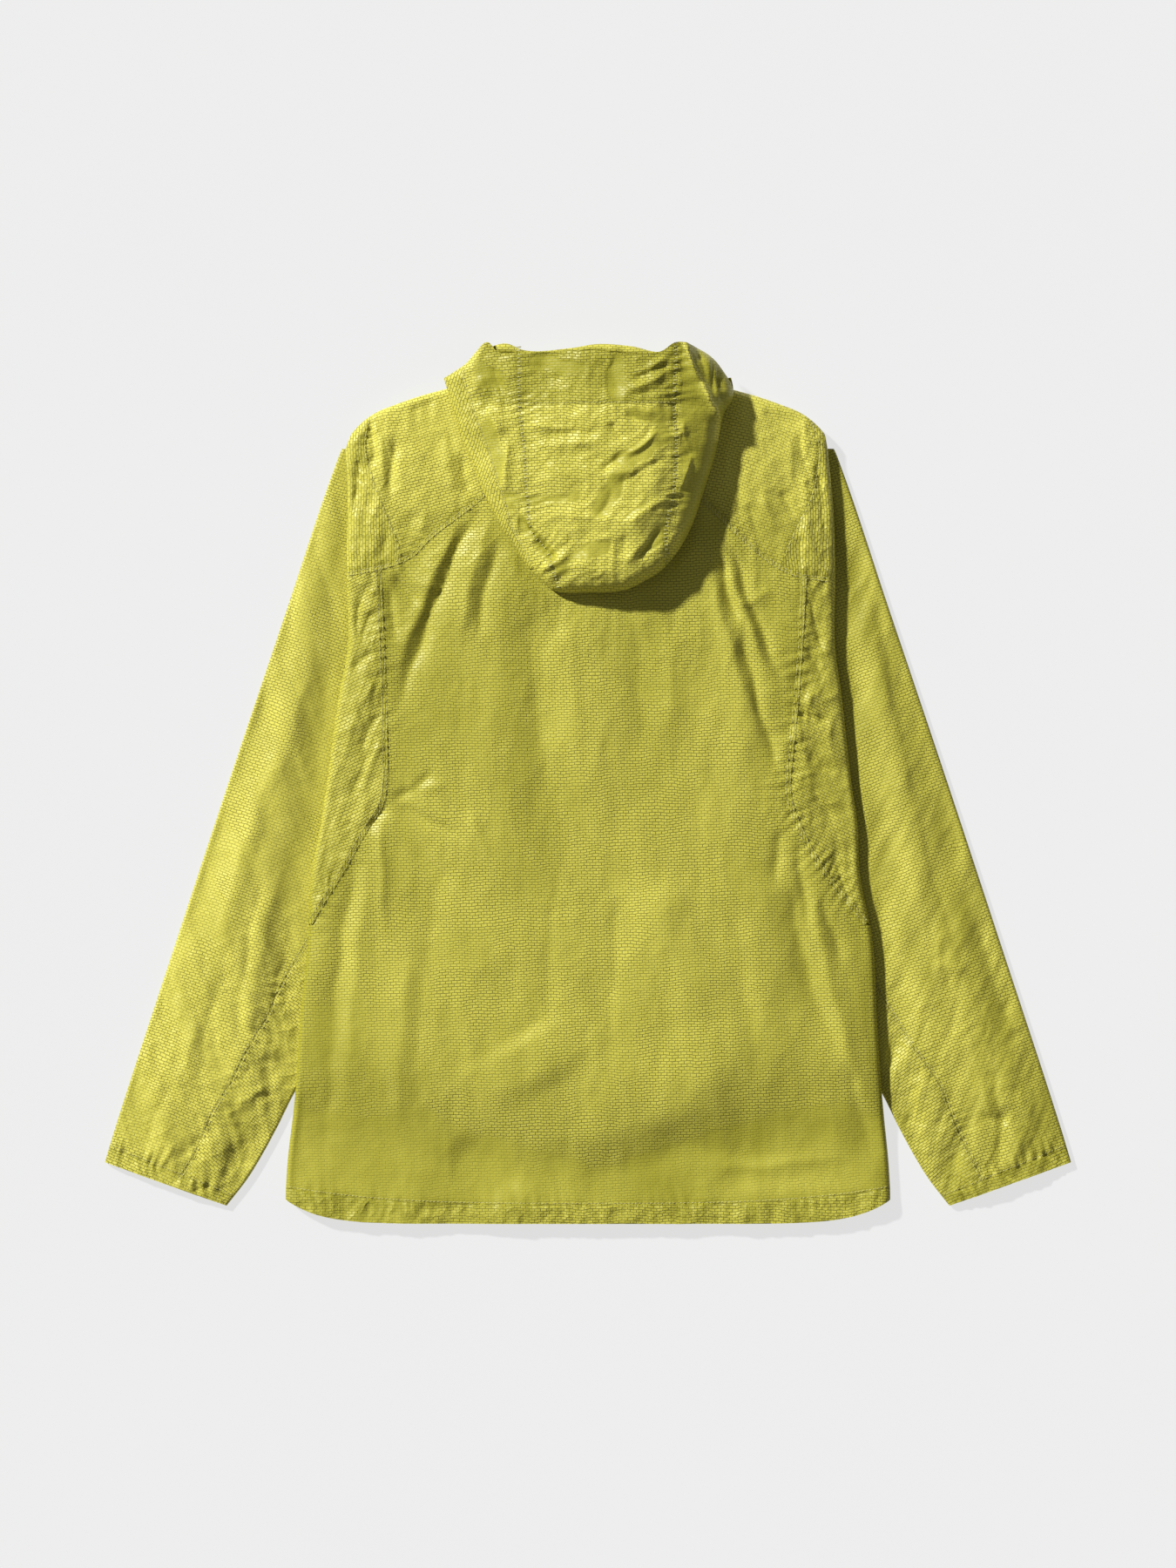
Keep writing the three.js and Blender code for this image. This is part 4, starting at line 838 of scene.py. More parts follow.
def parted(grid, form, gap=SEAM_PARTING):
    """Draws each seamed edge in by a gap, so that a fine line parts the pieces. Edges along a fold stay."""
    out = grid.copy()
    inset = FORMS[form][1](grid[..., 0], grid[..., 1])
    for edge, inner in ((np.s_[0, :], np.s_[1, :]), (np.s_[-1, :], np.s_[-2, :]),
                        (np.s_[:, 0], np.s_[:, 1]), (np.s_[:, -1], np.s_[:, -2])):
        inwards = grid[inner] - grid[edge]
        inwards = inwards / np.maximum(np.linalg.norm(inwards, axis=-1, keepdims=True), 1e-6)
        out[edge] = out[edge] + inwards * gap * (inset[edge] > 0.5)[:, None]
    return out


# Tone of the cloth: how deep its colour looks, partly where layers lie under it and partly as painted shade of
# troughs and folds, such as the dark band along the right side fold
LAYER_AND_SHADE_TONES = rows(
    ("x", "y", "wide", "high", "amount"),
    (0, -360, 300, 60, 0.10), (-62, 90, 26, 130, 0.22), (4, 70, 24, 140, -0.16), (58, 60, 22, 130, 0.20),
    (110, 90, 26, 90, -0.14), (-38, -40, 24, 60, 0.16), (60, -120, 70, 90, -0.22),
    (-150, 60, 50, 110, 0.14), (170, 30, 30, 110, 0.14), (-95, -60, 50, 70, -0.16),
    (20, 250, 90, 60, 0.12), (-205, -90, 34, 60, 0.10), (165, -345, 80, 10, -0.22),
    (-150, -170, 60, 80, -0.10), (-40, -200, 60, 60, -0.08), (215, -100, 30, 90, 0.22),
    (185, -295, 60, 34, 0.20), (60, -345, 70, 14, 0.10), (-70, -330, 50, 20, 0.08),
    (-215, -250, 26, 110, 0.12),
)


def body_tone(x, y):
    depth = 0.52 + 0.10 * noise(x, y, 60, 3)
    for px, py, wide, high, amount in zip(*LAYER_AND_SHADE_TONES.values()):
        depth = depth + amount * np.exp(-(((x - px) / wide) ** 2) - ((y - py) / high) ** 2)
    upper = smooth((y - 215) / 50)
    depth = depth - 0.42 * upper * smooth((np.abs(x) - 60) / 60) * smooth((200 - np.abs(x)) / 20)
    # Painted light: lighter at the upper left, on the side that faces the light.
    depth = depth - 0.10 * smooth((-x - 140) / 60) * smooth((y - 180) / 40)
    # Painted shade along the side folds towards the hem: wide on the right, the fold's shadow side, and narrow
    # on the left, where it dims the lit rim.
    side = by_side(side_fold, x, y) - np.abs(x)
    edge = np.where(x < 0, 0.5 * np.exp(-((side / 5) ** 2)), 0.35 * np.exp(-((side / 16) ** 2)))
    return depth + edge * smooth((-70 - y) / 60)


def sleeve_tone(x, y):
    """Bright over one layer of the floor's light, with deeper bands beside the long edges. The left sleeve, on
    the side that faces the light, is painted lighter than the right, and a painted shade line runs along each
    outer fold.
    """
    outer = sleeve_outer(y) - np.abs(x)
    inner = np.abs(x) - by_side(side_fold, x, y)
    # Painted light: the left sleeve lighter than the right.
    depth = np.where(x < 0, 0.12, 0.46) + 0.18 * noise(np.abs(x) + 0.33 * y, y * 0.16, 17, 4)
    depth = depth + np.where(x < 0, 0.12, 0.20) * np.exp(-(((outer - 24) / 10) ** 2))
    depth = depth + 0.18 * np.exp(-((inner / 16) ** 2)) + 0.10 * smooth((-240 - y) / 60)
    # Painted shade along the outer fold's edge.
    depth = depth + 0.3 * np.exp(-((outer / 4) ** 2))
    return depth


# The lit edge of the fold at the hood's right corner, from the top down
CORNER_FOLD = np.array([(81, 378), (91, 356), (99, 340), (107, 322), (112, 311), (111, 296)], float)


def corner_fold(x, y):
    return np.exp(-((nearest(CORNER_FOLD, x, y)[0] / 2.3) ** 2))


def hood_tone(x, y):
    depth = 0.30 + 0.12 * noise(x, y, 34, 2) + 0.24 * hood_calm(x, y)
    depth = depth + 0.52 * smooth((y - BRIM_SEAM_Y) / 1.5) * smooth((97 - np.abs(x)) / 6)
    # Minus the corner fold: a painted highlight along the lit edge of the fold at the hood's right corner.
    return depth + 0.10 * smooth((x - 78) / 20) - 0.6 * corner_fold(x, y)


def seam_tone(seams, x, y, line=0.08, half=1.3):
    """The allowances behind each seam make a deeper band about 7 mm wide, with the needle's line in it: a dark
    joint that is also painted shade of the seam's groove.
    """
    depth = np.zeros_like(x)
    for path, *_ in seams:
        away = nearest(path, x, y)[0]
        depth += 0.12 * np.exp(-((away / 4.5) ** 4)) + line * np.exp(-((away / half) ** 4))
    return depth


def lip_tone(x, y):
    """Deepest in the gap just above the brim's edge: a painted shadow line there."""
    return 0.3 + 0.1 * noise(x, y, 20, 1) + 0.7 * np.exp(-(((y - hood_top(x) - 0.8) / 1.7) ** 2))


TONE_OF = {
    "back": lambda x, y: body_tone(x, y) + seam_tone(BODY_SEAMS, x, y),
    "front": body_tone,
    "sleeve_top": lambda x, y: sleeve_tone(x, y) + seam_tone(SLEEVE_SEAMS, x, y),
    "sleeve_under": sleeve_tone,
    # The hood's ladder seams get a wider, deeper needle line: painted shade in their grooves.
    "hood": lambda x, y: (hood_tone(x, y) + seam_tone(HOOD_SEAM_WAVES[:2], x, y, 0.2, 2.4)
                          + seam_tone(HOOD_SEAM_WAVES[2:3], x, y)),
    "hood_under": lambda x, y: hood_tone(x, y) + 0.1,
    "collar": lambda x, y: 0.5 + 0.1 * noise(x, y, 20, 1),
    "collar_lip": lip_tone,
}


def patches(x, y, size, seed, share=0.0):
    """Crisp-edged patches: 1 where smooth noise is above a share, so that edges run along its creases."""
    wx, wy = warped(x, y, size, seed)
    return smooth((noise(wx, wy, size, seed) - share) / 0.07)


def body_calm(x, y):
    low = smooth((-120 - x) / 40) * smooth((-170 - y) / 40)
    below = smooth((bulge_foot(x) - y + 6 + 8 * noise(x, y, 40, 2)) / 7) * smooth((y - hem_seam(x)) / 2)
    return clamp(0.35 * patches(x, y * 0.7, 26, 0, 0.12) + 0.5 * low + 0.8 * below)


def sleeve_calm(x, y):
    slant = along_sleeve(x, y)
    return 0.5 * patches(slant, y * 0.35, 22, 1, 0.05)


# Smooth facets of the hood: middle, half length, half width and turn in degrees
HOOD_FACETS = rows(
    ("x", "y", "long", "wide", "turn"),
    (52, 315, 25, 8, -6), (52, 290, 40, 10, 33), (18, 250, 30, 11, 58), (58, 210, 24, 6, 52),
    (-88, 292, 58, 13, -67), (-40, 207, 32, 7, -50), (-84, 348, 18, 10, -35), (-28, 360, 28, 9, -8),
    (24, 346, 9, 20, 0), (0, 199, 30, 6, 18), (-30, 244, 24, 7, 4), (38, 232, 16, 5, 36),
)


def facets_at(table, x, y):
    """1 inside each wavering ellipse, with a crisp edge, and 0 outside them all."""
    inside = np.zeros_like(x)
    for px, py, long, wide, turn in zip(*table.values()):
        c, s = math.cos(math.radians(turn)), math.sin(math.radians(turn))
        u, v = ((x - px) * c + (y - py) * s) / long, ((y - py) * c - (x - px) * s) / wide
        inside = np.maximum(inside, smooth((1 - np.hypot(u, v) + 0.5 * noise(x, y, 12, 6)) / 0.32))
    return inside


def hood_calm(x, y):
    beside_band = smooth((x - hood_side["left"](y) - hood_band_width(y)) / 1.5)
    smooth_side = smooth((x - 78) / 3) * (1 - corner_fold(x, y))
    return clamp(facets_at(HOOD_FACETS, x, y) * beside_band + smooth_side)


CALM_OF = {
    "back": body_calm, "front": body_calm, "sleeve_top": sleeve_calm, "sleeve_under": sleeve_calm,
    "hood": hood_calm, "hood_under": always(0.4), "collar": always(0.2), "collar_lip": always(0.2),
}

# Strengths of the cloth's crinkles and gathers, and its shell thickness and stitch pitch in millimetres
LOOK = {"crinkle": 1.3, "gather": 1.0, "thick": 0.5, "pitch": 3.2}


def mesh_object(name, points, faces, material, smooth_faces=True):
    """A new object at the origin with its place in its mesh. Points are in millimetres."""
    mesh = bpy.data.meshes.new(name)
    mesh.from_pydata((points * MM).tolist(), [], faces.tolist() if hasattr(faces, "tolist") else faces)
    mesh.polygons.foreach_set("use_smooth", np.full(len(mesh.polygons), smooth_faces))
    mesh.materials.append(material)
    mesh.update()
    obj = bpy.data.objects.new(name, mesh)
    bpy.context.scene.collection.objects.link(obj)
    return obj


def grid_faces(height, width, flip=False):
    j, i = np.meshgrid(np.arange(height - 1), np.arange(width - 1), indexing="ij")
    a = (j * width + i).ravel()
    quads = np.stack([a, a + 1, a + width + 1, a + width], 1)
    return quads[:, ::-1] if flip else quads


def surface(name, form, grid, slot, out=0.0, thick=None, grain=0.0):
    """A thin shell on a form over a grid of places, with its depth of colour and its weave's place."""
    x, y = grid[..., 0], grid[..., 1]
    points = on_form(form, x, y, np.full(x.shape, float(out)))
    down, right = grid[1:, :-1] - grid[:-1, :-1], grid[:-1, 1:] - grid[:-1, :-1]
    turn = np.median(right[..., 0] * down[..., 1] - right[..., 1] * down[..., 0])
    flip = (turn < 0) != (FORMS[form][0] < 0)
    height, width = x.shape
    obj = mesh_object(name, points.reshape(-1, 3), grid_faces(height, width, flip), MATERIALS[slot])
    mesh = obj.data
    fields = {"depth": clamp(TONE_OF[form](x, y)), "calm": clamp(CALM_OF[form](x, y)),
              "rough": ROUGH_OF.get(form, always(0.2))(x, y)}
    for key, values in fields.items():
        field = mesh.attributes.new(key, "FLOAT", "POINT")
        field.data.foreach_set("value", values.ravel().astype(np.float32))
    lie = 1.3 * noise(x, y, 30, 3) + 0.8 * noise(x, y, 13, 5)
    angle = math.radians(grain)
    u = (x * math.cos(angle) + y * math.sin(angle)).ravel()
    v = (-x * math.sin(angle) + y * math.cos(angle) + lie).ravel()
    loops = np.empty(len(mesh.loops), np.int32)
    mesh.loops.foreach_get("vertex_index", loops)
    layer = mesh.uv_layers.new(name="Cloth")
    layer.data.foreach_set("uv", (np.stack([u, v], 1)[loops].ravel() * MM).astype(np.float32))
    ends = np.empty(2 * len(mesh.edges), np.int32)
    mesh.edges.foreach_get("vertices", ends)
    row, column = np.divmod(ends.reshape(-1, 2), width)
    rims = ((row, 0), (row, height - 1), (column, 0), (column, width - 1))
    rim = sum((line == end).all(1) for line, end in rims)
    sharp = mesh.attributes.new("sharp_edge", "BOOLEAN", "EDGE")
    sharp.data.foreach_set("value", rim > 0)
    shell = obj.modifiers.new("Cloth thickness", "SOLIDIFY")
    shell.thickness = (thick or LOOK["thick"]) * MM
    shell.offset = -1
    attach(obj, "root")
    return obj


def ribbon(name, path, place):
    """A felled seam allowance: a ribbon laid on the back beside its seam."""
    return surface(name, "back", strip_grid(path, *place), "shell", out=RIBBON, thick=RIBBON, grain=90.0)


def cloth(form, grid, nodes, slot, out=0.0, grain=0.0):
    """A sheet of cloth on a form. It stands for its CAD nodes and is
    named after the first of them."""
    obj = surface(f"{nodes[0]}_cloth", form, parted(grid, form), slot, out=out, grain=grain)
    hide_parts(*nodes)
    return obj


def path_shares(path, step, from_start=EDGE, from_end=EDGE):
    """Shares of a path's length at even steps, closer together over a fold at either end."""
    length = path_length(path)[-1]
    return across(np.array([length]), from_start, max(2, int(length / step)), from_end)[0]


def spread(path, shares):
    """The points at some shares of a path's length."""
    length = path_length(path)
    at = shares * length[-1]
    return np.stack([np.interp(at, length, path[:, 0]), np.interp(at, length, path[:, 1])], 1)


def even(path, count):
    return spread(path, np.linspace(0, 1, count + 1))


def body_side(name, sign):
    """The fold and seams of one side of the body, each as its own path from the hem up."""
    def fold(y0, y1):
        return along_y(side_fold[name], y0, y1, 120, sign)

    hem_end = level(side_fold[name], HEM_CORNER_Y)
    start = np.array([[sign * hem_end, level(hem_seam, hem_end)]])
    yoke_start, arm_start = SIDE_SEAM[name][-1], ARMHOLE[name][0]
    head_top = ARMHOLE[name][-1]
    fold_top = level(yoke_seam[name], YOKE_END_X)
    yoke_foot = level(yoke_seam[name], yoke_start)
    corner = np.concatenate([fold(SHOULDER_CORNER_Y - 1, SHOULDER_CORNER_Y)[-1:],
                             mirrored(along_x(shoulder, SHOULDER_CORNER_X, head_top + 4, 12), sign)])
    return {
        "low": np.concatenate([start, fold(HEM_FOLD_FROM, SIDE_PANEL_FOLD_FROM)]),
        "side": fold(SIDE_PANEL_FOLD_FROM, fold_top),
        "head": joined(fold(fold_top, SHOULDER_CORNER_Y), corner),
        "ridge": mirrored(along_x(shoulder, head_top, NECK_POINT[0], 60), sign),
        "seam": along_y(side_seam[name], SIDE_PANEL_FROM, yoke_foot, 140, sign),
        "yoke_low": mirrored(along_x(yoke_seam[name], yoke_start, arm_start, 12), sign),
        "yoke": mirrored(along_x(yoke_seam[name], arm_start, BACK_NECK_HALF, 90), sign),
    }


BODY = {name: body_side(name, sign) for name, sign in SIDES}


def back_grid():
    """Rows from the left fold and seams to the right ones, and from the hem seam up to the neck."""
    def edge(name):
        part = BODY[name]
        upper = joined(*(even(part[key], BODY_ROWS[key]) for key in ("seam", "yoke_low", "yoke")))
        return np.concatenate([even(part["low"], BODY_ROWS["low"]), upper])

    start, end = edge("left"), edge("right")
    folds = over_fold(BODY_FOLD)
    return plan(start, end, folds, STEPS["back"], folds, bottom=over_x(start[0][0], end[0][0], hem_seam))


def hem_grid():
    left, right = BODY["left"]["low"][0], BODY["right"]["low"][0]
    low = [np.array([p[0], float(hem_edge(p[0]))]) for p in (left, right)]
    folds = over_fold(BODY_FOLD)
    return plan(straight(low[0], left, 9), straight(low[1], right, 9), folds, STEPS["hem"], folds,
                bottom=over_x(low[0][0], low[1][0], hem_edge), top=over_x(left[0], right[0], hem_seam))


def yoke_over(name):
    return lambda x: yoke_seam[name](np.abs(x))


def side_panel_grid(name):
    part = BODY[name]
    start, end = even(part["seam"], 150), even(part["side"], 150)
    start[0, 1] += 3 * SEAM_GAP
    end[0, 1] += 3 * SEAM_GAP
    return plan(start, end, EDGE, STEPS["side_panel"], over_fold(BODY_FOLD),
                top=over_x(start[-1][0], end[-1][0], yoke_over(name)))


def armhole_curve(name, sign):
    part = BODY[name]

    def points(u):
        y = mix(part["yoke"][0][1], part["ridge"][0][1], u)
        return np.stack([sign * armhole[name](y), y], -1)

    return points


def yoke_grid(name, sign):
    part = BODY[name]
    return plan(even(part["yoke"], 92), even(part["ridge"], 92), EDGE, STEPS["yoke"], over_fold(BODY_FOLD),
                bottom=armhole_curve(name, sign))


def sleeve_head_grid(name, sign):
    part = BODY[name]
    curve_at = armhole_curve(name, sign)
    shares = path_shares(curve_at(np.linspace(0, 1, 40)), STEPS["yoke"], EDGE, over_fold(BODY_FOLD))
    head = spread(part["head"], shares)
    return plan(curve_at(shares), head, EDGE, STEPS["yoke"], over_fold(BODY_FOLD),
                bottom=over_x(part["yoke"][0][0], head[0][0], yoke_over(name)),
                top=over_x(part["ridge"][0][0], head[-1][0], lambda x: shoulder(np.abs(x))))


def front_edges(name, sign):
    part = BODY[name]
    body = joined(*(even(part[key], FRONT_ROWS[key]) for key in ("low", "side", "head")))
    fold = np.concatenate([body, even(part["ridge"], FRONT_ROWS["ridge"])])
    up = (body[:, 1] - body[0, 1]) / (fold[len(body), 1] - body[0, 1])
    centre = np.stack([np.full(len(body), sign * ZIP_HALF),
                       mix(float(hem_seam(ZIP_HALF)), float(neckline(ZIP_HALF)), up)], 1)
    neck = mirrored(along_x(neckline, ZIP_HALF, NECK_SEAM_END, FRONT_ROWS["ridge"] + 1)[1:], sign)
    return np.concatenate([centre, neck]), fold


def front_grid(name, sign):
    centre, fold = front_edges(name, sign)
    return plan(centre, fold, EDGE, STEPS["front"], over_fold(BODY_FOLD),
                bottom=over_x(centre[0][0], fold[0][0], hem_seam))


def hem_front_grid(name, sign):
    centre, fold = front_edges(name, sign)
    low = np.array([[sign * ZIP_HALF, float(hem_edge(ZIP_HALF))], [fold[0][0], float(hem_edge(fold[0][0]))]])
    start, end = straight(low[0], centre[0], 5), straight(low[1], fold[0], 5)
    return plan(start, end, EDGE, STEPS["hem_front"], over_fold(BODY_FOLD),
                bottom=over_x(low[0][0], low[1][0], hem_edge), top=over_x(centre[0][0], fold[0][0], hem_seam))


# Sleeves, whose rows run from the inner fold or the seam to the outer fold
def sleeve_edges(name, sign, upper_rows, lower_rows):
    def line(curve_of, y0, y1, count):
        return along_y(curve_of, y0, y1, count, sign)

    seam = line(sleeve_seam[name], SLEEVE_SEAM_FROM, CUFF_AT[name][1], lower_rows)
    seam[-1] = (sign * CUFF_AT[name][0], CUFF_AT[name][1])
    inner_low = line(sleeve_inner, SLEEVE_SEAM_FROM, CUFF_SEAM["inner"][1], lower_rows)
    inner_high = line(sleeve_inner, SLEEVE_TOP, SLEEVE_SEAM_FROM, upper_rows)
    outer = joined(line(sleeve_outer, SLEEVE_TOP, SLEEVE_SEAM_OUTER, upper_rows),
                   line(sleeve_outer, SLEEVE_SEAM_OUTER, CUFF_SEAM["outer"][1], lower_rows))
    return {"seam": seam, "inner_low": inner_low, "inner_high": inner_high, "outer": outer}


def sleeve_back_grid(name, sign):
    edges = sleeve_edges(name, sign, 160, 118)
    folds = over_fold(SLEEVE_FOLD)
    inner = np.concatenate([edges["inner_high"][:-1], edges["seam"]])
    return plan(inner, edges["outer"], folds, STEPS["sleeve_back"], folds)


def sleeve_under_grid(name, sign):
    edges = sleeve_edges(name, sign, 40, 125)
    return plan(edges["inner_low"], edges["seam"], over_fold(SLEEVE_FOLD), STEPS["sleeve_under"], EDGE)


def sleeve_front_grid(name, sign):
    edges = sleeve_edges(name, sign, 80, 60)
    folds = over_fold(SLEEVE_FOLD)
    inner = joined(edges["inner_high"], edges["inner_low"])
    return plan(inner, edges["outer"], folds, STEPS["sleeve_front"], folds)


def cuff_grid(sign, step):
    def down(curve_of, key):
        first = np.array([level(curve_of, CUFF_SEAM[key][1]), CUFF_SEAM[key][1]])
        return mirrored(straight(first, CUFF_EDGE[key], 8), sign)

    folds = over_fold(SLEEVE_FOLD)
    return plan(down(sleeve_inner, "inner"), down(sleeve_outer, "outer"), folds, step, folds)


# Hood: its crown and side panels, the brim above the cross seam and the layer that lies on the back
def foot_fold(x):
    return over_fold(float(hood_fold(np.array(x), 0)))


def hood_seam_path(name):
    """Up one crown seam from the foot fold to the cross seam. The right one starts a little higher up."""
    foot = (CROWN_FOOT[name], level(hood_bottom, CROWN_FOOT[name]))
    y = np.linspace(168.5, BRIM_SEAM_Y, 90)
    if name == "right":
        y = mix(foot[1], BRIM_SEAM_Y, (y - HOOD_LOWEST) / (BRIM_SEAM_Y - HOOD_LOWEST))
    path = np.concatenate([[foot], np.stack([hood_seam[name](y), y], 1)])
    return spread(path, path_shares(path, path_length(path)[-1] / (HOOD_ROWS["crown"] - 5), foot_fold(0)))


def brim_seam_path(name, top_y):
    return along_y(hood_seam[name], BRIM_SEAM_Y, top_y, HOOD_ROWS["brim"])


def hood_outline(name):
    """Up one side of the hood's outline, from its foot to its top corner."""
    foot = (HOOD_FOOT[name], level(hood_bottom, HOOD_FOOT[name]))
    t = np.linspace(0, 1, 90)[1:] ** 1.3
    y = np.concatenate([mix(foot[1], HOOD_SHOULDER_Y[name], t),
                        np.linspace(HOOD_SHOULDER_Y[name], HOOD_CORNER[name][1], 12)[1:]])
    side = np.stack([hood_side[name](y), y], 1)
    corner = (HOOD_CORNER[name][0], level(hood_top, HOOD_CORNER[name][0]))
    return np.concatenate([[foot], side, [corner]])


def crown_grid():
    left, right = hood_seam_path("left"), hood_seam_path("right")
    return plan(left, right, EDGE, STEPS["crown"], EDGE,
                bottom=over_x(CROWN_FOOT["left"], CROWN_FOOT["right"], hood_bottom))


def brim_grid():
    left, right = (brim_seam_path(name, BRIM_EDGE_Y) for name in ("left", "right"))
    return plan(left, right, EDGE, STEPS["crown"], EDGE, top=over_x(left[-1][0], right[-1][0], hood_top))


def band_edges():
    """The outline and the band's inner edge, level by level."""
    outline = hood_outline("left")
    inner = outline.copy()
    wide = outline[:, 1] > HOOD_BAND_FROM_Y
    inner[wide, 0] += hood_band_width(outline[wide, 1])
    inner[-1] = (HOOD_BAND_TOP_X, level(hood_top, HOOD_BAND_TOP_X))
    return outline, inner, int(np.argmax(wide))


def hood_left_grid():
    _, inner, _ = band_edges()
    seam = np.concatenate([hood_seam_path("left"), brim_seam_path("left", BRIM_EDGE_Y)[1:]])
    start = even(inner, HOOD_ROWS["outline"])
    end = even(seam, HOOD_ROWS["outline"])
    return plan(start, end, foot_fold(-80), STEPS["hood_side"], EDGE,
                bottom=over_x(HOOD_FOOT["left"], CROWN_FOOT["left"], hood_bottom),
                top=over_x(start[-1][0], end[-1][0], hood_top))


def band_grid():
    outline, inner, first = band_edges()
    edge = np.array([0, 0.5, 1.3, 2.5])
    return plan(even(outline[first:], 100), even(inner[first:], 100), edge, STEPS["band"], EDGE)


def hood_right_grid():
    top_x = level(hood_seam["right"], BRIM_EDGE_Y)
    brim = brim_seam_path("right", BRIM_EDGE_Y)
    brim[-1] = (top_x, level(hood_top, top_x))
    start = even(np.concatenate([hood_seam_path("right"), brim[1:]]), HOOD_ROWS["outline"])
    end = even(hood_outline("right"), HOOD_ROWS["outline"])
    return plan(start, end, EDGE, STEPS["hood_side"], foot_fold(100),
                bottom=over_x(CROWN_FOOT["right"], HOOD_FOOT["right"], hood_bottom),
                top=over_x(start[-1][0], end[-1][0], hood_top))


def hood_under_grid():
    def neck_edge(x):
        out = (np.abs(x) - BACK_NECK_HALF) / (NECK_POINT[0] - BACK_NECK_HALF)
        return BACK_NECK_Y + HOOD_NECK_GAP + 27 * smooth(out)

    left, right = (even(hood_outline(name)[:-1], 60) for name in ("left", "right"))
    return plan(left, right, foot_fold(-80), STEPS["hood_under"], foot_fold(100),
                bottom=over_x(HOOD_FOOT["left"], HOOD_FOOT["right"], hood_bottom),
                top=over_x(left[-1][0], right[-1][0], neck_edge))


def collar_grid(name, sign):
    def foot(x):
        return neckline(x) + SEAM_GAP / 2

    def line(x, top_x):
        path = straight((x, float(foot(x))), (top_x, level(collar_top, sign * top_x)), 30)
        return mirrored(spread(path, path_shares(path, STEPS["collar"], EDGE, over_fold(COLLAR_FOLD))), sign)

    start, end = line(ZIP_HALF, ZIP_HALF), line(NECK_SEAM_END, COLLAR_END[name])
    count = min(len(start), len(end)) - 1
    start, end = even(start, count), even(end, count)
    return plan(start, end, EDGE, STEPS["collar"], EDGE, bottom=over_x(start[0][0], end[0][0], foot),
                top=over_x(start[-1][0], end[-1][0], collar_top))


def lip_grid():
    down = np.concatenate([over_fold(COLLAR_LIP_FOLD), [7.2, 8.5, 10, 13, COLLAR_LIP_DEPTH]])[::-1]
    ends = (COLLAR_LIP_FROM, COLLAR_LIP_HALF)
    start, end = (np.stack([np.full(len(down), x), collar_top(np.array(x)) - down], 1) for x in ends)
    return plan(start, end, EDGE, STEPS["lip"], EDGE,
                bottom=over_x(*ends, lambda x: collar_top(x) - COLLAR_LIP_DEPTH),
                top=over_x(*ends, collar_top))


def zip_edge(x):
    top = level(collar_top, x)
    bend = top - over_fold(COLLAR_FOLD)[::-1]
    body = np.linspace(float(hem_edge(x)), NECK_Y, 120)
    y = np.concatenate([body, np.linspace(NECK_Y, bend[0], 24)[1:], bend[1:]])
    return np.stack([np.full(len(y), x), y], 1)


def zip_grid():
    return plan(zip_edge(-ZIP_HALF), zip_edge(ZIP_HALF), EDGE, STEPS["zip"], EDGE)


def strip_grid(path, aside, width):
    """A ribbon beside a path: each row steps out square to it, from aside to aside + width."""
    along = np.gradient(path, axis=0)
    along /= np.linalg.norm(along, axis=1, keepdims=True)
    square = np.stack([-along[:, 1], along[:, 0]], 1)
    u = aside + width * np.linspace(0, 1, 6)
    return path[:, None] + square[:, None] * u[:, None]


def face_frame(form, points, along, out):
    """On a form at each place: the point, the direction along, the one square to it and the normal."""
    def at(p):
        return on_form(form, p[:, 0], p[:, 1], np.full(len(p), float(out)))

    square = np.stack([-along[:, 1], along[:, 0]], 1)
    forward = at(points + along * 0.7) - at(points - along * 0.7)
    sideways = at(points + square * 0.7) - at(points - square * 0.7)
    forward /= np.linalg.norm(forward, axis=1, keepdims=True)
    normal = np.cross(forward, sideways) * FORMS[form][0]
    normal *= np.sign(normal[:, 2:]) * FORMS[form][0]
    normal /= np.linalg.norm(normal, axis=1, keepdims=True)
    return at(points), forward, np.cross(normal, forward), normal


def bar_shape():
    """A thread's short arch: four diamonds along it, a third as high at its ends, closed at both ends."""
    along = np.array([-1.0, -0.45, 0.45, 1.0])
    size = np.array([0.35, 1.0, 1.0, 0.35])
    lift = np.array([-0.4, 0.5, 0.5, -0.4])
    round_x, round_z = np.array([1.0, 0, -1, 0]), np.array([0, 1.0, 0, -1])
    points = np.stack([np.repeat(along, 4), (size[:, None] * round_x).ravel(),
                       (size[:, None] * round_z + lift[:, None]).ravel()], 1)
    faces = [[4 * k + m, 4 * k + (m + 1) % 4, 4 * k + 4 + (m + 1) % 4, 4 * k + 4 + m]
             for k in range(3) for m in range(4)]
    return points, np.array(faces + [[3, 2, 1, 0], [12, 13, 14, 15]])


def bars(frames, half_length, half_width, half_height):
    """Copies of the bar on each frame, as one block of points and faces."""
    shape, faces = bar_shape()
    centre, forward, sideways, normal = frames
    points = (centre[:, None] + forward[:, None] * shape[None, :, 0:1] * half_length
              + sideways[:, None] * shape[None, :, 1:2] * half_width
              + normal[:, None] * shape[None, :, 2:3] * half_height)
    shift = np.arange(len(centre))[:, None, None] * len(shape)
    return points.reshape(-1, 3), (faces[None] + shift).reshape(-1, 4).tolist()


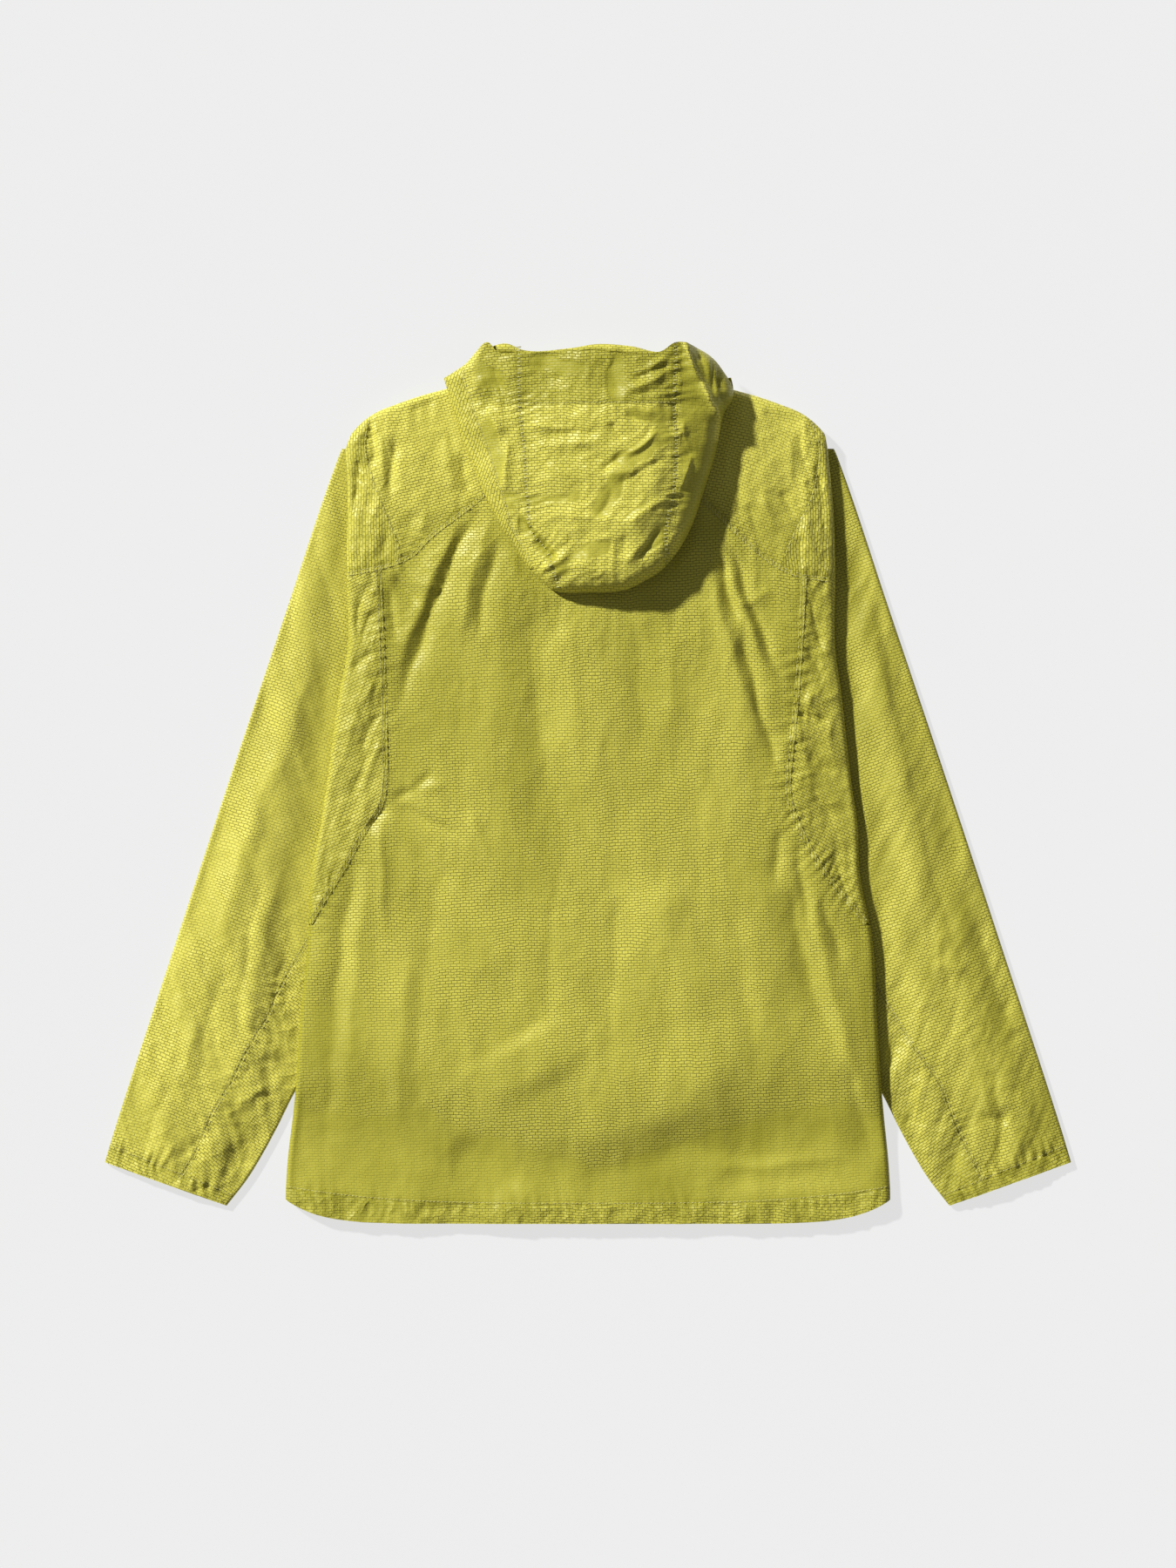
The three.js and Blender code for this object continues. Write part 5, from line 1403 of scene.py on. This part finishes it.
def stitch_row(path, form, pitch, aside=0.0, across_seam=False, out=STITCH_RISE, uneven=0.0, seed=0):
    """Frames of the stitches along a path at even pitch, beside it, or square to it for a ladder."""
    count = max(2, int(path_length(path)[-1] / pitch))
    place = spread(path, (np.arange(count) + 0.5) / count)
    ahead = spread(path, np.clip((np.arange(count) + 0.9) / count, 0, 1)) - place
    along = ahead / np.maximum(np.linalg.norm(ahead, axis=1, keepdims=True), 1e-9)
    square = np.stack([-along[:, 1], along[:, 0]], 1)
    wander = uneven * np.random.default_rng(seed).uniform(-1, 1, (count, 1))
    place = place + square * (aside + wander)
    return face_frame(form, place, square if across_seam else along, out)


def merged(blocks):
    """Several blocks of points and faces as one."""
    points, faces, start = [], [], 0
    for block, corners in blocks:
        points.append(block)
        faces += [[k + start for k in face] for face in corners]
        start += len(block)
    return np.concatenate(points), faces


def thread(name, slot, rows_of_bars):
    """One mesh of all the stitches of a part of the jacket."""
    obj = mesh_object(name, *merged(rows_of_bars), MATERIALS["thread"])
    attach(obj, "root")
    return obj


# Shader node groups and materials
def group(name, inputs, outputs):
    tree = bpy.data.node_groups.new(name, "ShaderNodeTree")
    for label, kind, default in inputs:
        socket = tree.interface.new_socket(label, in_out="INPUT", socket_type=kind)
        if default is not None:
            socket.default_value = default
    for label, kind in outputs:
        tree.interface.new_socket(label, in_out="OUTPUT", socket_type=kind)
    return tree


def put(tree, kind, inputs=None, **settings):
    """A node with settings, and inputs by name or number: a socket is linked, another value is set."""
    node = tree.nodes.new(kind)
    for key, value in settings.items():
        setattr(node, key, value)
    for key, value in (inputs or {}).items():
        if isinstance(value, bpy.types.NodeSocket):
            tree.links.new(value, node.inputs[key])
        else:
            node.inputs[key].default_value = value
    return node


def ranged(tree, value, low, high, to_low=0.0, to_high=1.0):
    node = put(tree, "ShaderNodeMapRange", {0: value, 1: low, 2: high, 3: to_low, 4: to_high}, clamp=True)
    return node.outputs[0]


def sums(tree, operation, a, b):
    return put(tree, "ShaderNodeMath", {0: a, 1: b}, operation=operation).outputs[0]


def attribute(tree, name):
    return put(tree, "ShaderNodeAttribute", attribute_name=name, attribute_type="GEOMETRY").outputs["Fac"]


def cloud(tree, place, scale, detail=2.0, roughness=0.5):
    """The outputs of smooth noise over a place."""
    inputs = {"Vector": place, "Scale": scale, "Detail": detail, "Roughness": roughness}
    return put(tree, "ShaderNodeTexNoise", inputs).outputs


def weave_group():
    """Ribs of short raised dashes, each row shifted by half a dash, with a fine haze of threads over them."""
    tree = group("Nylon weave", (("Place", "NodeSocketVector", None), ("Dash length", "NodeSocketFloat", 5.0),
                                 ("Rib pitch", "NodeSocketFloat", 2.4), ("Grain", "NodeSocketFloat", 0.2),
                                 ("Crepe", "NodeSocketFloat", 0.7),
                                 ("Crumple", "NodeSocketFloat", 2.5)),
                 (("Height", "NodeSocketFloat"), ("Furrow", "NodeSocketFloat"), ("Patch", "NodeSocketFloat"),
                  ("Crumple", "NodeSocketFloat")))
    source = put(tree, "NodeGroupInput")
    place = put(tree, "ShaderNodeVectorMath", {0: source.outputs["Place"], "Scale": 1000.0},
                operation="SCALE").outputs[0]
    drift = cloud(tree, place, 0.16, 1.0)["Color"]
    shifted = put(tree, "ShaderNodeVectorMath", {0: drift, 1: (1.2, 1.5, 0), 2: place},
                  operation="MULTIPLY_ADD").outputs[0]
    brick = put(tree, "ShaderNodeTexBrick", {
        "Vector": shifted, "Color1": (1, 1, 1, 1), "Color2": (0.72, 0.72, 0.72, 1), "Mortar": (0, 0, 0, 1),
        "Scale": 1.0, "Mortar Size": 0.5, "Mortar Smooth": 1.0, "Bias": 0.0,
        "Brick Width": source.outputs["Dash length"], "Row Height": source.outputs["Rib pitch"],
    }, offset=0.5, offset_frequency=2)
    dash = sums(tree, "SUBTRACT", 1.0, brick.outputs["Fac"])
    fine = cloud(tree, place, 0.9, roughness=0.6)["Fac"]
    broad = cloud(tree, place, 0.035)["Fac"]
    crepe = cloud(tree, place, 0.22, roughness=0.55)["Fac"]
    cells = put(tree, "ShaderNodeTexVoronoi", {"Vector": place, "Scale": 0.035, "Randomness": 1.0})
    facets = put(tree, "ShaderNodeSeparateColor", {0: cells.outputs["Color"]}).outputs[0]
    rough = ranged(tree, facets, 0.35, 0.45, 0.35, 1.0)
    haze = sums(tree, "MULTIPLY", fine, source.outputs["Grain"])
    ribs = sums(tree, "ADD", dash, haze)
    ripple = sums(tree, "MULTIPLY", crepe, source.outputs["Crepe"])
    height = sums(tree, "MULTIPLY_ADD", ripple, rough)
    tree.links.new(ribs, height.node.inputs[2])
    ridges = put(tree, "ShaderNodeTexNoise", {"Vector": place, "Scale": 0.07, "Detail": 3.0, "Roughness": 0.5,
                                              "Lacunarity": 2.1, "Offset": 0.9, "Gain": 1.2},
                 noise_type="RIDGED_MULTIFRACTAL", normalize=False).outputs["Fac"]
    crumple = sums(tree, "MULTIPLY", ridges, source.outputs["Crumple"])
    out = put(tree, "NodeGroupOutput")
    given = {"Height": height, "Furrow": brick.outputs["Fac"], "Patch": broad, "Crumple": crumple}
    for label, socket in given.items():
        tree.links.new(socket, out.inputs[label])
    return tree


def principled(name, roughness, **sockets):
    material = bpy.data.materials.new(name)
    material.use_nodes = True
    tree = material.node_tree
    shader = tree.nodes["Principled BSDF"]
    shader.inputs["Roughness"].default_value = roughness
    for key, value in sockets.items():
        shader.inputs[key.replace("_", " ")].default_value = value
    return material, tree, shader


def mixed(tree, share, a, b, blend="MIX"):
    node = put(tree, "ShaderNodeMix", {0: share, 6: a, 7: b}, data_type="RGBA", blend_type=blend)
    return node.outputs[2]


def bumped(tree, shader, height, distance, strength=1.0):
    bump = put(tree, "ShaderNodeBump", {"Height": height, "Distance": distance, "Strength": strength})
    tree.links.new(bump.outputs["Normal"], shader.inputs["Normal"])


def nylon(name, weave, bright, deep, roughness, deeper=0.0):
    """Thin nylon: its depth attribute blends from the bright single layer to the deep doubled one, and also
    carries the painted light and shade of the tone fields.
    """
    material, tree, shader = principled(name, roughness, Sheen_Weight=0.1, Sheen_Roughness=0.35,
                                        Sheen_Tint=(0.8, 0.77, 0.3, 1),
                                        Specular_IOR_Level=0.32)
    place = put(tree, "ShaderNodeUVMap", uv_map="Cloth").outputs[0]
    depth = attribute(tree, "depth")
    pattern = put(tree, "ShaderNodeGroup", node_tree=weave)
    tree.links.new(place, pattern.inputs["Place"])
    calm = attribute(tree, "calm")
    uneven = ranged(tree, pattern.outputs["Patch"], 0.3, 0.7, deeper - 0.06, deeper + 0.06)
    layered = sums(tree, "ADD", depth, ranged(tree, calm, 0.0, 1.0, 0.0, 0.26))
    share = sums(tree, "ADD", layered, uneven)
    colour = mixed(tree, ranged(tree, share, 0.0, 1.0), bright, deep)
    dip = ranged(tree, calm, 0.0, 1.0, 1.0, 0.4)
    furrow_seen = sums(tree, "MULTIPLY", pattern.outputs["Furrow"], dip)
    # The weave's furrows darken the colour and its dash tops lighten it a little: painted shade and light of
    # the weave's relief, on top of its bump.
    furrow = ranged(tree, furrow_seen, 0.0, 1.0, 1.1, 0.46)
    shaded = put(tree, "ShaderNodeCombineColor", {0: furrow, 1: furrow, 2: furrow}).outputs[0]
    colour = mixed(tree, 1.0, colour, shaded, "MULTIPLY")
    tree.links.new(colour, shader.inputs["Base Color"])
    rough = ranged(tree, pattern.outputs["Furrow"], 0.0, 1.0, roughness, roughness + 0.2)
    tree.links.new(rough, shader.inputs["Roughness"])
    seen = sums(tree, "MULTIPLY", pattern.outputs["Height"], dip)
    crumple = sums(tree, "MULTIPLY", pattern.outputs["Crumple"], attribute(tree, "rough"))
    bumped(tree, shader, sums(tree, "ADD", seen, crumple), 0.0003)
    return material


def speckled(name, colour, roughness, scale, detail, dim, rise, **sockets):
    """A plain material whose colour and surface vary a little over the object's own coordinates."""
    material, tree, shader = principled(name, roughness, **sockets)
    place = put(tree, "ShaderNodeTexCoord").outputs["Object"]
    spots = cloud(tree, place, scale, detail)["Fac"]
    dark = tuple(c * dim for c in colour[:3]) + (1,)
    tree.links.new(mixed(tree, spots, dark, colour), shader.inputs["Base Color"])
    bumped(tree, shader, spots, rise)
    return material


def moulded(name, colour, roughness):
    return speckled(name, colour, roughness, 260.0, 2.0, 0.75, 0.00006, Coat_Weight=0.15)


MATERIALS = {}


def make_materials(look):
    """The cloth in three depths, the thread, the zip's teeth and its slider."""
    weave = weave_group()
    bright, deep, fine = tuple(look.bright_cloth), tuple(look.deep_cloth), tuple(look.thread)
    MATERIALS.update(
        shell=nylon("Lime nylon", weave, bright, deep, look.gloss_roughness),
        trim=nylon("Lime nylon, doubled", weave, bright, deep, look.gloss_roughness + 0.04, 0.12),
        zip=nylon("Zip tape", weave, bright, deep, 0.6, 0.35),
        thread=speckled("Polyester thread", fine, 0.5, 900.0, 1.0, 0.8, 0.0001, Sheen_Weight=0.2),
        teeth=moulded("Moulded teeth", fine, 0.4),
        slider=moulded("Painted slider", deep, 0.3),
    )


# Settings that a user may change
class JacketSizes(bpy.types.PropertyGroup):
    """Sizes and strengths of the cloth's detail"""
    cloth_thickness: bpy.props.FloatProperty(
        name="Cloth thickness", description="Thickness of each cloth shell", default=0.0005,
        min=0.0002, max=0.001, unit="LENGTH", precision=5)
    crinkle: bpy.props.FloatProperty(
        name="Crinkle", description="Height of the fine crinkles, in millimetres", default=1.3, min=0, max=2)
    gather: bpy.props.FloatProperty(
        name="Gathers", description="Strength of the gathers beside the seams", default=1.0, min=0, max=2)
    stitch_pitch: bpy.props.FloatProperty(
        name="Stitch pitch", description="Distance from one stitch to the next", default=0.0032,
        min=0.002, max=0.006, unit="LENGTH", precision=5)


class JacketColours(bpy.types.PropertyGroup):
    """Colours of the cloth, the thread and the floor"""
    # Between these two colours the tone fields also paint light and shade: lighter towards the bright cloth,
    # shaded towards the deep.
    bright_cloth: bpy.props.FloatVectorProperty(
        name="Bright cloth", description="Colour of one layer of nylon", subtype="COLOR", size=4,
        default=(0.70, 0.645, 0.10, 1), min=0, max=1)
    deep_cloth: bpy.props.FloatVectorProperty(
        name="Deep cloth", description="Colour where layers lie over each other", subtype="COLOR", size=4,
        default=(0.36, 0.335, 0.03, 1), min=0, max=1)
    thread: bpy.props.FloatVectorProperty(
        name="Thread", description="Colour of the stitches", subtype="COLOR", size=4,
        default=(0.60, 0.57, 0.19, 1), min=0, max=1)
    floor: bpy.props.FloatVectorProperty(
        name="Floor", description="Colour of the light that the floor gives back", subtype="COLOR", size=4,
        default=(0.71, 0.71, 0.71, 1), min=0, max=1)
    gloss_roughness: bpy.props.FloatProperty(
        name="Nylon roughness", description="Roughness of the cloth's threads", default=0.42,
        min=0.1, max=1, subtype="FACTOR")


class JACKET_OT_materials(bpy.types.Operator):
    """Make the cloth, thread and zip materials"""
    bl_idname = "jacket.materials"
    bl_label = "Materials"

    def execute(self, context):
        sizes = context.scene.jacket_sizes
        LOOK.update(crinkle=sizes.crinkle, gather=sizes.gather, thick=sizes.cloth_thickness / MM,
                    pitch=sizes.stitch_pitch / MM)
        make_materials(context.scene.jacket_colours)
        return {"FINISHED"}


class JACKET_OT_back(bpy.types.Operator):
    """Make the back panel with its hem, side panels, yokes and sleeve heads"""
    bl_idname = "jacket.back"
    bl_label = "Back"

    def execute(self, context):
        cloth("back", back_grid(), ["back_panel"], "shell", grain=2)
        cloth("back", hem_grid(), ["hem_back"], "trim")
        for name, sign in SIDES:
            side = ribbon(f"side_seam_{name}", even(PATHS[f"side_{name}"], 130), SIDE_RIBBON * sign)
            yoke = ribbon(f"yoke_seam_{name}", even(PATHS[f"yoke_{name}"], 90), YOKE_RIBBON * sign)
            cloth("back", side_panel_grid(name), [f"side_panel_{name}"], "shell",
                  grain=-sign * 24)
            cloth("back", yoke_grid(name, sign), [f"yoke_{name}"], "shell",
                  grain=-sign * 15)
            cloth("back", sleeve_head_grid(name, sign), [f"sleeve_head_{name}"], "shell", grain=90)
        return {"FINISHED"}


class JACKET_OT_fronts(bpy.types.Operator):
    """Make the fronts and their hems, which lie on the floor"""
    bl_idname = "jacket.fronts"
    bl_label = "Fronts"

    def execute(self, context):
        for name, sign in SIDES:
            cloth("front", front_grid(name, sign), [f"front_{name}"], "shell")
            cloth("front", hem_front_grid(name, sign), [f"hem_front_{name}"], "trim")
        return {"FINISHED"}


class JACKET_OT_sleeves(bpy.types.Operator):
    """Make the sleeves, their under panels and their cuffs"""
    bl_idname = "jacket.sleeves"
    bl_label = "Sleeves"

    def execute(self, context):
        for name, sign in SIDES:
            outer = [f"sleeve_{part}_{name}" for part in ("back", "outer", "outer_upper")]
            cloth("sleeve_top", sleeve_back_grid(name, sign), outer, "shell", grain=18 * sign)
            cloth("sleeve_top", sleeve_under_grid(name, sign), [f"sleeve_under_{name}"], "shell",
                  grain=35 * sign)
            cloth("sleeve_under", sleeve_front_grid(name, sign), [f"sleeve_front_{name}"], "shell",
                  grain=18 * sign)
            for part, form in (("cuff_back", "sleeve_top"), ("cuff_front", "sleeve_under")):
                cloth(form, cuff_grid(sign, STEPS[part]), [f"{part}_{name}"], "trim",
                      grain=22 * sign)
        return {"FINISHED"}


class JACKET_OT_hood(bpy.types.Operator):
    """Make the hood: crown, brim, side panels, edge band and the layer under them"""
    bl_idname = "jacket.hood"
    bl_label = "Hood"

    def execute(self, context):
        cloth("hood", crown_grid(), ["hood_crown"], "shell")
        cloth("hood", brim_grid(), ["hood_brim"], "shell")
        cloth("hood", hood_left_grid(), ["hood_side_left"], "shell", grain=8)
        cloth("hood", band_grid(), ["hood_band"], "trim", grain=72)
        cloth("hood", hood_right_grid(), ["hood_side_right"], "shell", grain=-4)
        cloth("hood_under", hood_under_grid(), ["hood_under"], "shell")
        return {"FINISHED"}


class JACKET_OT_collar(bpy.types.Operator):
    """Make the collar and its inner lip"""
    bl_idname = "jacket.collar"
    bl_label = "Collar"

    def execute(self, context):
        for name, sign in SIDES:
            cloth("collar", collar_grid(name, sign), [f"collar_{name}"], "shell")
        cloth("collar_lip", lip_grid(), ["collar_lip"], "trim")
        return {"FINISHED"}


def superellipsoid(centre, half, axes, power=0.45):
    """A softened block: |cos v|^p |cos u|^p, |cos v|^p |sin u|^p and |sin v|^p on three axes, with signs."""
    down, turn = np.linspace(-np.pi / 2, np.pi / 2, LEVELS), np.linspace(0, 2 * np.pi, AROUND + 1)[:-1]
    v, u = np.meshgrid(down, turn, indexing="ij")

    def eased(value):
        return np.sign(value) * np.abs(value) ** power

    flat = eased(np.cos(v))
    shape = np.stack([flat * eased(np.cos(u)), flat * eased(np.sin(u)), eased(np.sin(v))], -1)
    points = centre + sum(shape[..., k:k + 1] * half[k] * axis for k, axis in enumerate(axes))
    inner = points[1:-1].reshape(-1, 3)
    ring = np.arange(AROUND)
    after = (ring + 1) % AROUND
    band = np.stack([ring, after, after + AROUND, ring + AROUND], 1)
    bands = [band + j * AROUND for j in range(LEVELS - 3)]
    last = (LEVELS - 3) * AROUND
    low = [[int(b), int(a), len(inner)] for a, b in zip(ring, after)]
    high = [[int(a) + last, int(b) + last, len(inner) + 1] for a, b in zip(ring, after)]
    poles = np.stack([points[0, 0], points[-1, 0]])
    return np.concatenate([inner, poles]), np.concatenate(bands).tolist() + low + high


class JACKET_OT_zip(bpy.types.Operator):
    """Make the zip's tape, its teeth and its slider"""
    bl_idname = "jacket.zip"
    bl_label = "Zip"

    def execute(self, context):
        path = zip_edge(0.0)
        count = int(path_length(path)[-1] / TOOTH_PITCH)
        place = spread(path, (np.arange(count) + 0.5) / count)
        across_zip = np.tile([[1.0, 0.0]], (count, 1))
        frames = face_frame("collar", place, across_zip, -TAPE_RISE + TOOTH_RISE)
        teeth = mesh_object("zip_teeth", *bars(frames, *TOOTH), MATERIALS["teeth"])
        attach(teeth, "root")
        cloth("collar", zip_grid(), ["zip_tape"], "zip", out=-TAPE_RISE)

        middle = level(collar_top, 0.0) - (SLIDER_FROM_TOP + SLIDER_TO_TOP) / 2
        centre, *axes = (v[0] for v in face_frame(
            "collar", np.array([[0.0, middle]]), np.array([[0.0, 1.0]]), SLIDER_RISE))
        blocks = []
        for offset, half in SLIDER_BLOCKS:
            at = centre + sum(away * axis for away, axis in zip(offset, axes))
            blocks.append(superellipsoid(at, half, axes))
        slider = mesh_object("zip_slider_body", *merged(blocks), MATERIALS["slider"])
        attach(slider, "root")
        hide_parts("zip_slider")
        return {"FINISHED"}


class JACKET_OT_stitches(bpy.types.Operator):
    """Sew the stitches: double rows at the felled seams, ladders on the hood and rows at the hems"""
    bl_idname = "jacket.stitches"
    bl_label = "Stitches"

    def execute(self, context):
        def row(seam, form, aside=0.0, **kind):
            return stitch_row(PATHS[seam], form, LOOK["pitch"], aside, **kind)

        body, arms, ladders = [], [], []
        for k, (name, sign) in enumerate(SIDES):
            for seam in ("side", "yoke"):
                body += [row(f"{seam}_{name}", "back", sign * aside, out=RIBBON_STITCH_RISE)
                         for aside in STITCHES[seam]]
            body += [row(f"armhole_{name}", "back", sign * aside) for aside in STITCHES["armhole"]]
            arms += [row(f"sleeve_{name}", "sleeve_top", aside) for aside in STITCHES["sleeve"]]
            arms += [row(f"cuff_{name}", "sleeve_top", sign * aside) for aside in STITCHES["cuff"]]
            ladders.append(row(f"hood_{name}", "hood", across_seam=True, out=RUNG_RISE, uneven=RUNG_WANDER,
                               seed=k))
        body += [row("hem", "back", aside) for aside in STITCHES["hem"]]
        head = [row(seam, "hood", aside) for seam in ("brim", "band") for aside in STITCHES[seam]]
        thread("body_stitches", "shell", [bars(frames, *STITCH) for frames in body])
        thread("sleeve_stitches", "shell", [bars(frames, *STITCH) for frames in arms])
        rungs = [bars(frames, *RUNG) for frames in ladders]
        thread("hood_stitches", "shell", [bars(frames, *STITCH) for frames in head] + rungs)
        return {"FINISHED"}


class JACKET_OT_stage(bpy.types.Operator):
    """Make the floor, the lights and the camera straight above"""
    bl_idname = "jacket.stage"
    bl_label = "Stage"

    def execute(self, context):
        scene = context.scene
        corners = FLOOR_HALF * np.array([[-1, -1, 0], [1, -1, 0], [1, 1, 0], [-1, 1, 0]], float)
        corners[:, 2] = FLOOR_Z
        material, tree, shader = principled("Pale floor", 0.9, Specular_IOR_Level=0.0)
        place = put(tree, "ShaderNodeTexCoord").outputs["Object"]
        patch = cloud(tree, place, 3.0)["Fac"]
        base = mixed(tree, patch, (0.135, 0.135, 0.135, 1), (0.145, 0.145, 0.145, 1))
        tree.links.new(base, shader.inputs["Base Color"])
        shader.inputs["Emission Color"].default_value = tuple(scene.jacket_colours.floor)
        shader.inputs["Emission Strength"].default_value = 1.0
        floor = mesh_object("floor", corners / MM, [[0, 1, 2, 3]], material, False)

        sun = bpy.data.lights.new("Window light", "SUN")
        sun.energy = SUN_STRENGTH
        sun.angle = math.radians(SUN_SPREAD)
        lamp = bpy.data.objects.new("Window light", sun)
        lamp.rotation_euler = Vector(SUN_FALL).to_track_quat("-Z", "Y").to_euler()
        world = bpy.data.worlds.new("Soft room")
        world.use_nodes = True
        sky = world.node_tree.nodes["Background"]
        sky.inputs["Color"].default_value = (1, 1, 1, 1)
        sky.inputs["Strength"].default_value = SKY_STRENGTH
        scene.world = world
        lens = bpy.data.cameras.new("Camera")
        lens.lens = LENS
        lens.sensor_width = SENSOR
        lens.sensor_fit = "AUTO"
        lens.clip_end = 50
        camera = bpy.data.objects.new("Camera", lens)
        camera.location = (0, 0, CAMERA_HEIGHT)
        for item in (lamp, camera):
            scene.collection.objects.link(item)
        scene.camera = camera
        scene.view_settings.view_transform = "Standard"
        return {"FINISHED"}


class JACKET_PT_panel(bpy.types.Panel):
    """Sizes, colours and one button for each group of pieces"""
    bl_label = "Windbreaker jacket"
    bl_idname = "JACKET_PT_panel"
    bl_space_type = "VIEW_3D"
    bl_region_type = "UI"
    bl_category = "Jacket"

    def draw(self, context):
        for group_name in ("jacket_sizes", "jacket_colours"):
            settings = getattr(context.scene, group_name)
            for key in settings.__annotations__:
                self.layout.prop(settings, key)
        for operator in OPERATORS:
            self.layout.operator(operator.bl_idname)


OPERATORS = (
    JACKET_OT_stage, JACKET_OT_materials, JACKET_OT_fronts, JACKET_OT_back, JACKET_OT_sleeves,
    JACKET_OT_collar, JACKET_OT_zip, JACKET_OT_hood, JACKET_OT_stitches,
)
CLASSES = (JacketSizes, JacketColours, *OPERATORS, JACKET_PT_panel)


def register():
    for item in CLASSES:
        bpy.utils.register_class(item)
    bpy.types.Scene.jacket_sizes = bpy.props.PointerProperty(type=JacketSizes)
    bpy.types.Scene.jacket_colours = bpy.props.PointerProperty(type=JacketColours)


def unregister():
    del bpy.types.Scene.jacket_sizes
    del bpy.types.Scene.jacket_colours
    for item in reversed(CLASSES):
        bpy.utils.unregister_class(item)


def main():
    """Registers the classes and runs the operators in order."""
    register()
    for operator in OPERATORS:
        family, call = operator.bl_idname.split(".")
        getattr(getattr(bpy.ops, family), call)()


if __name__ == "__main__":
    main()
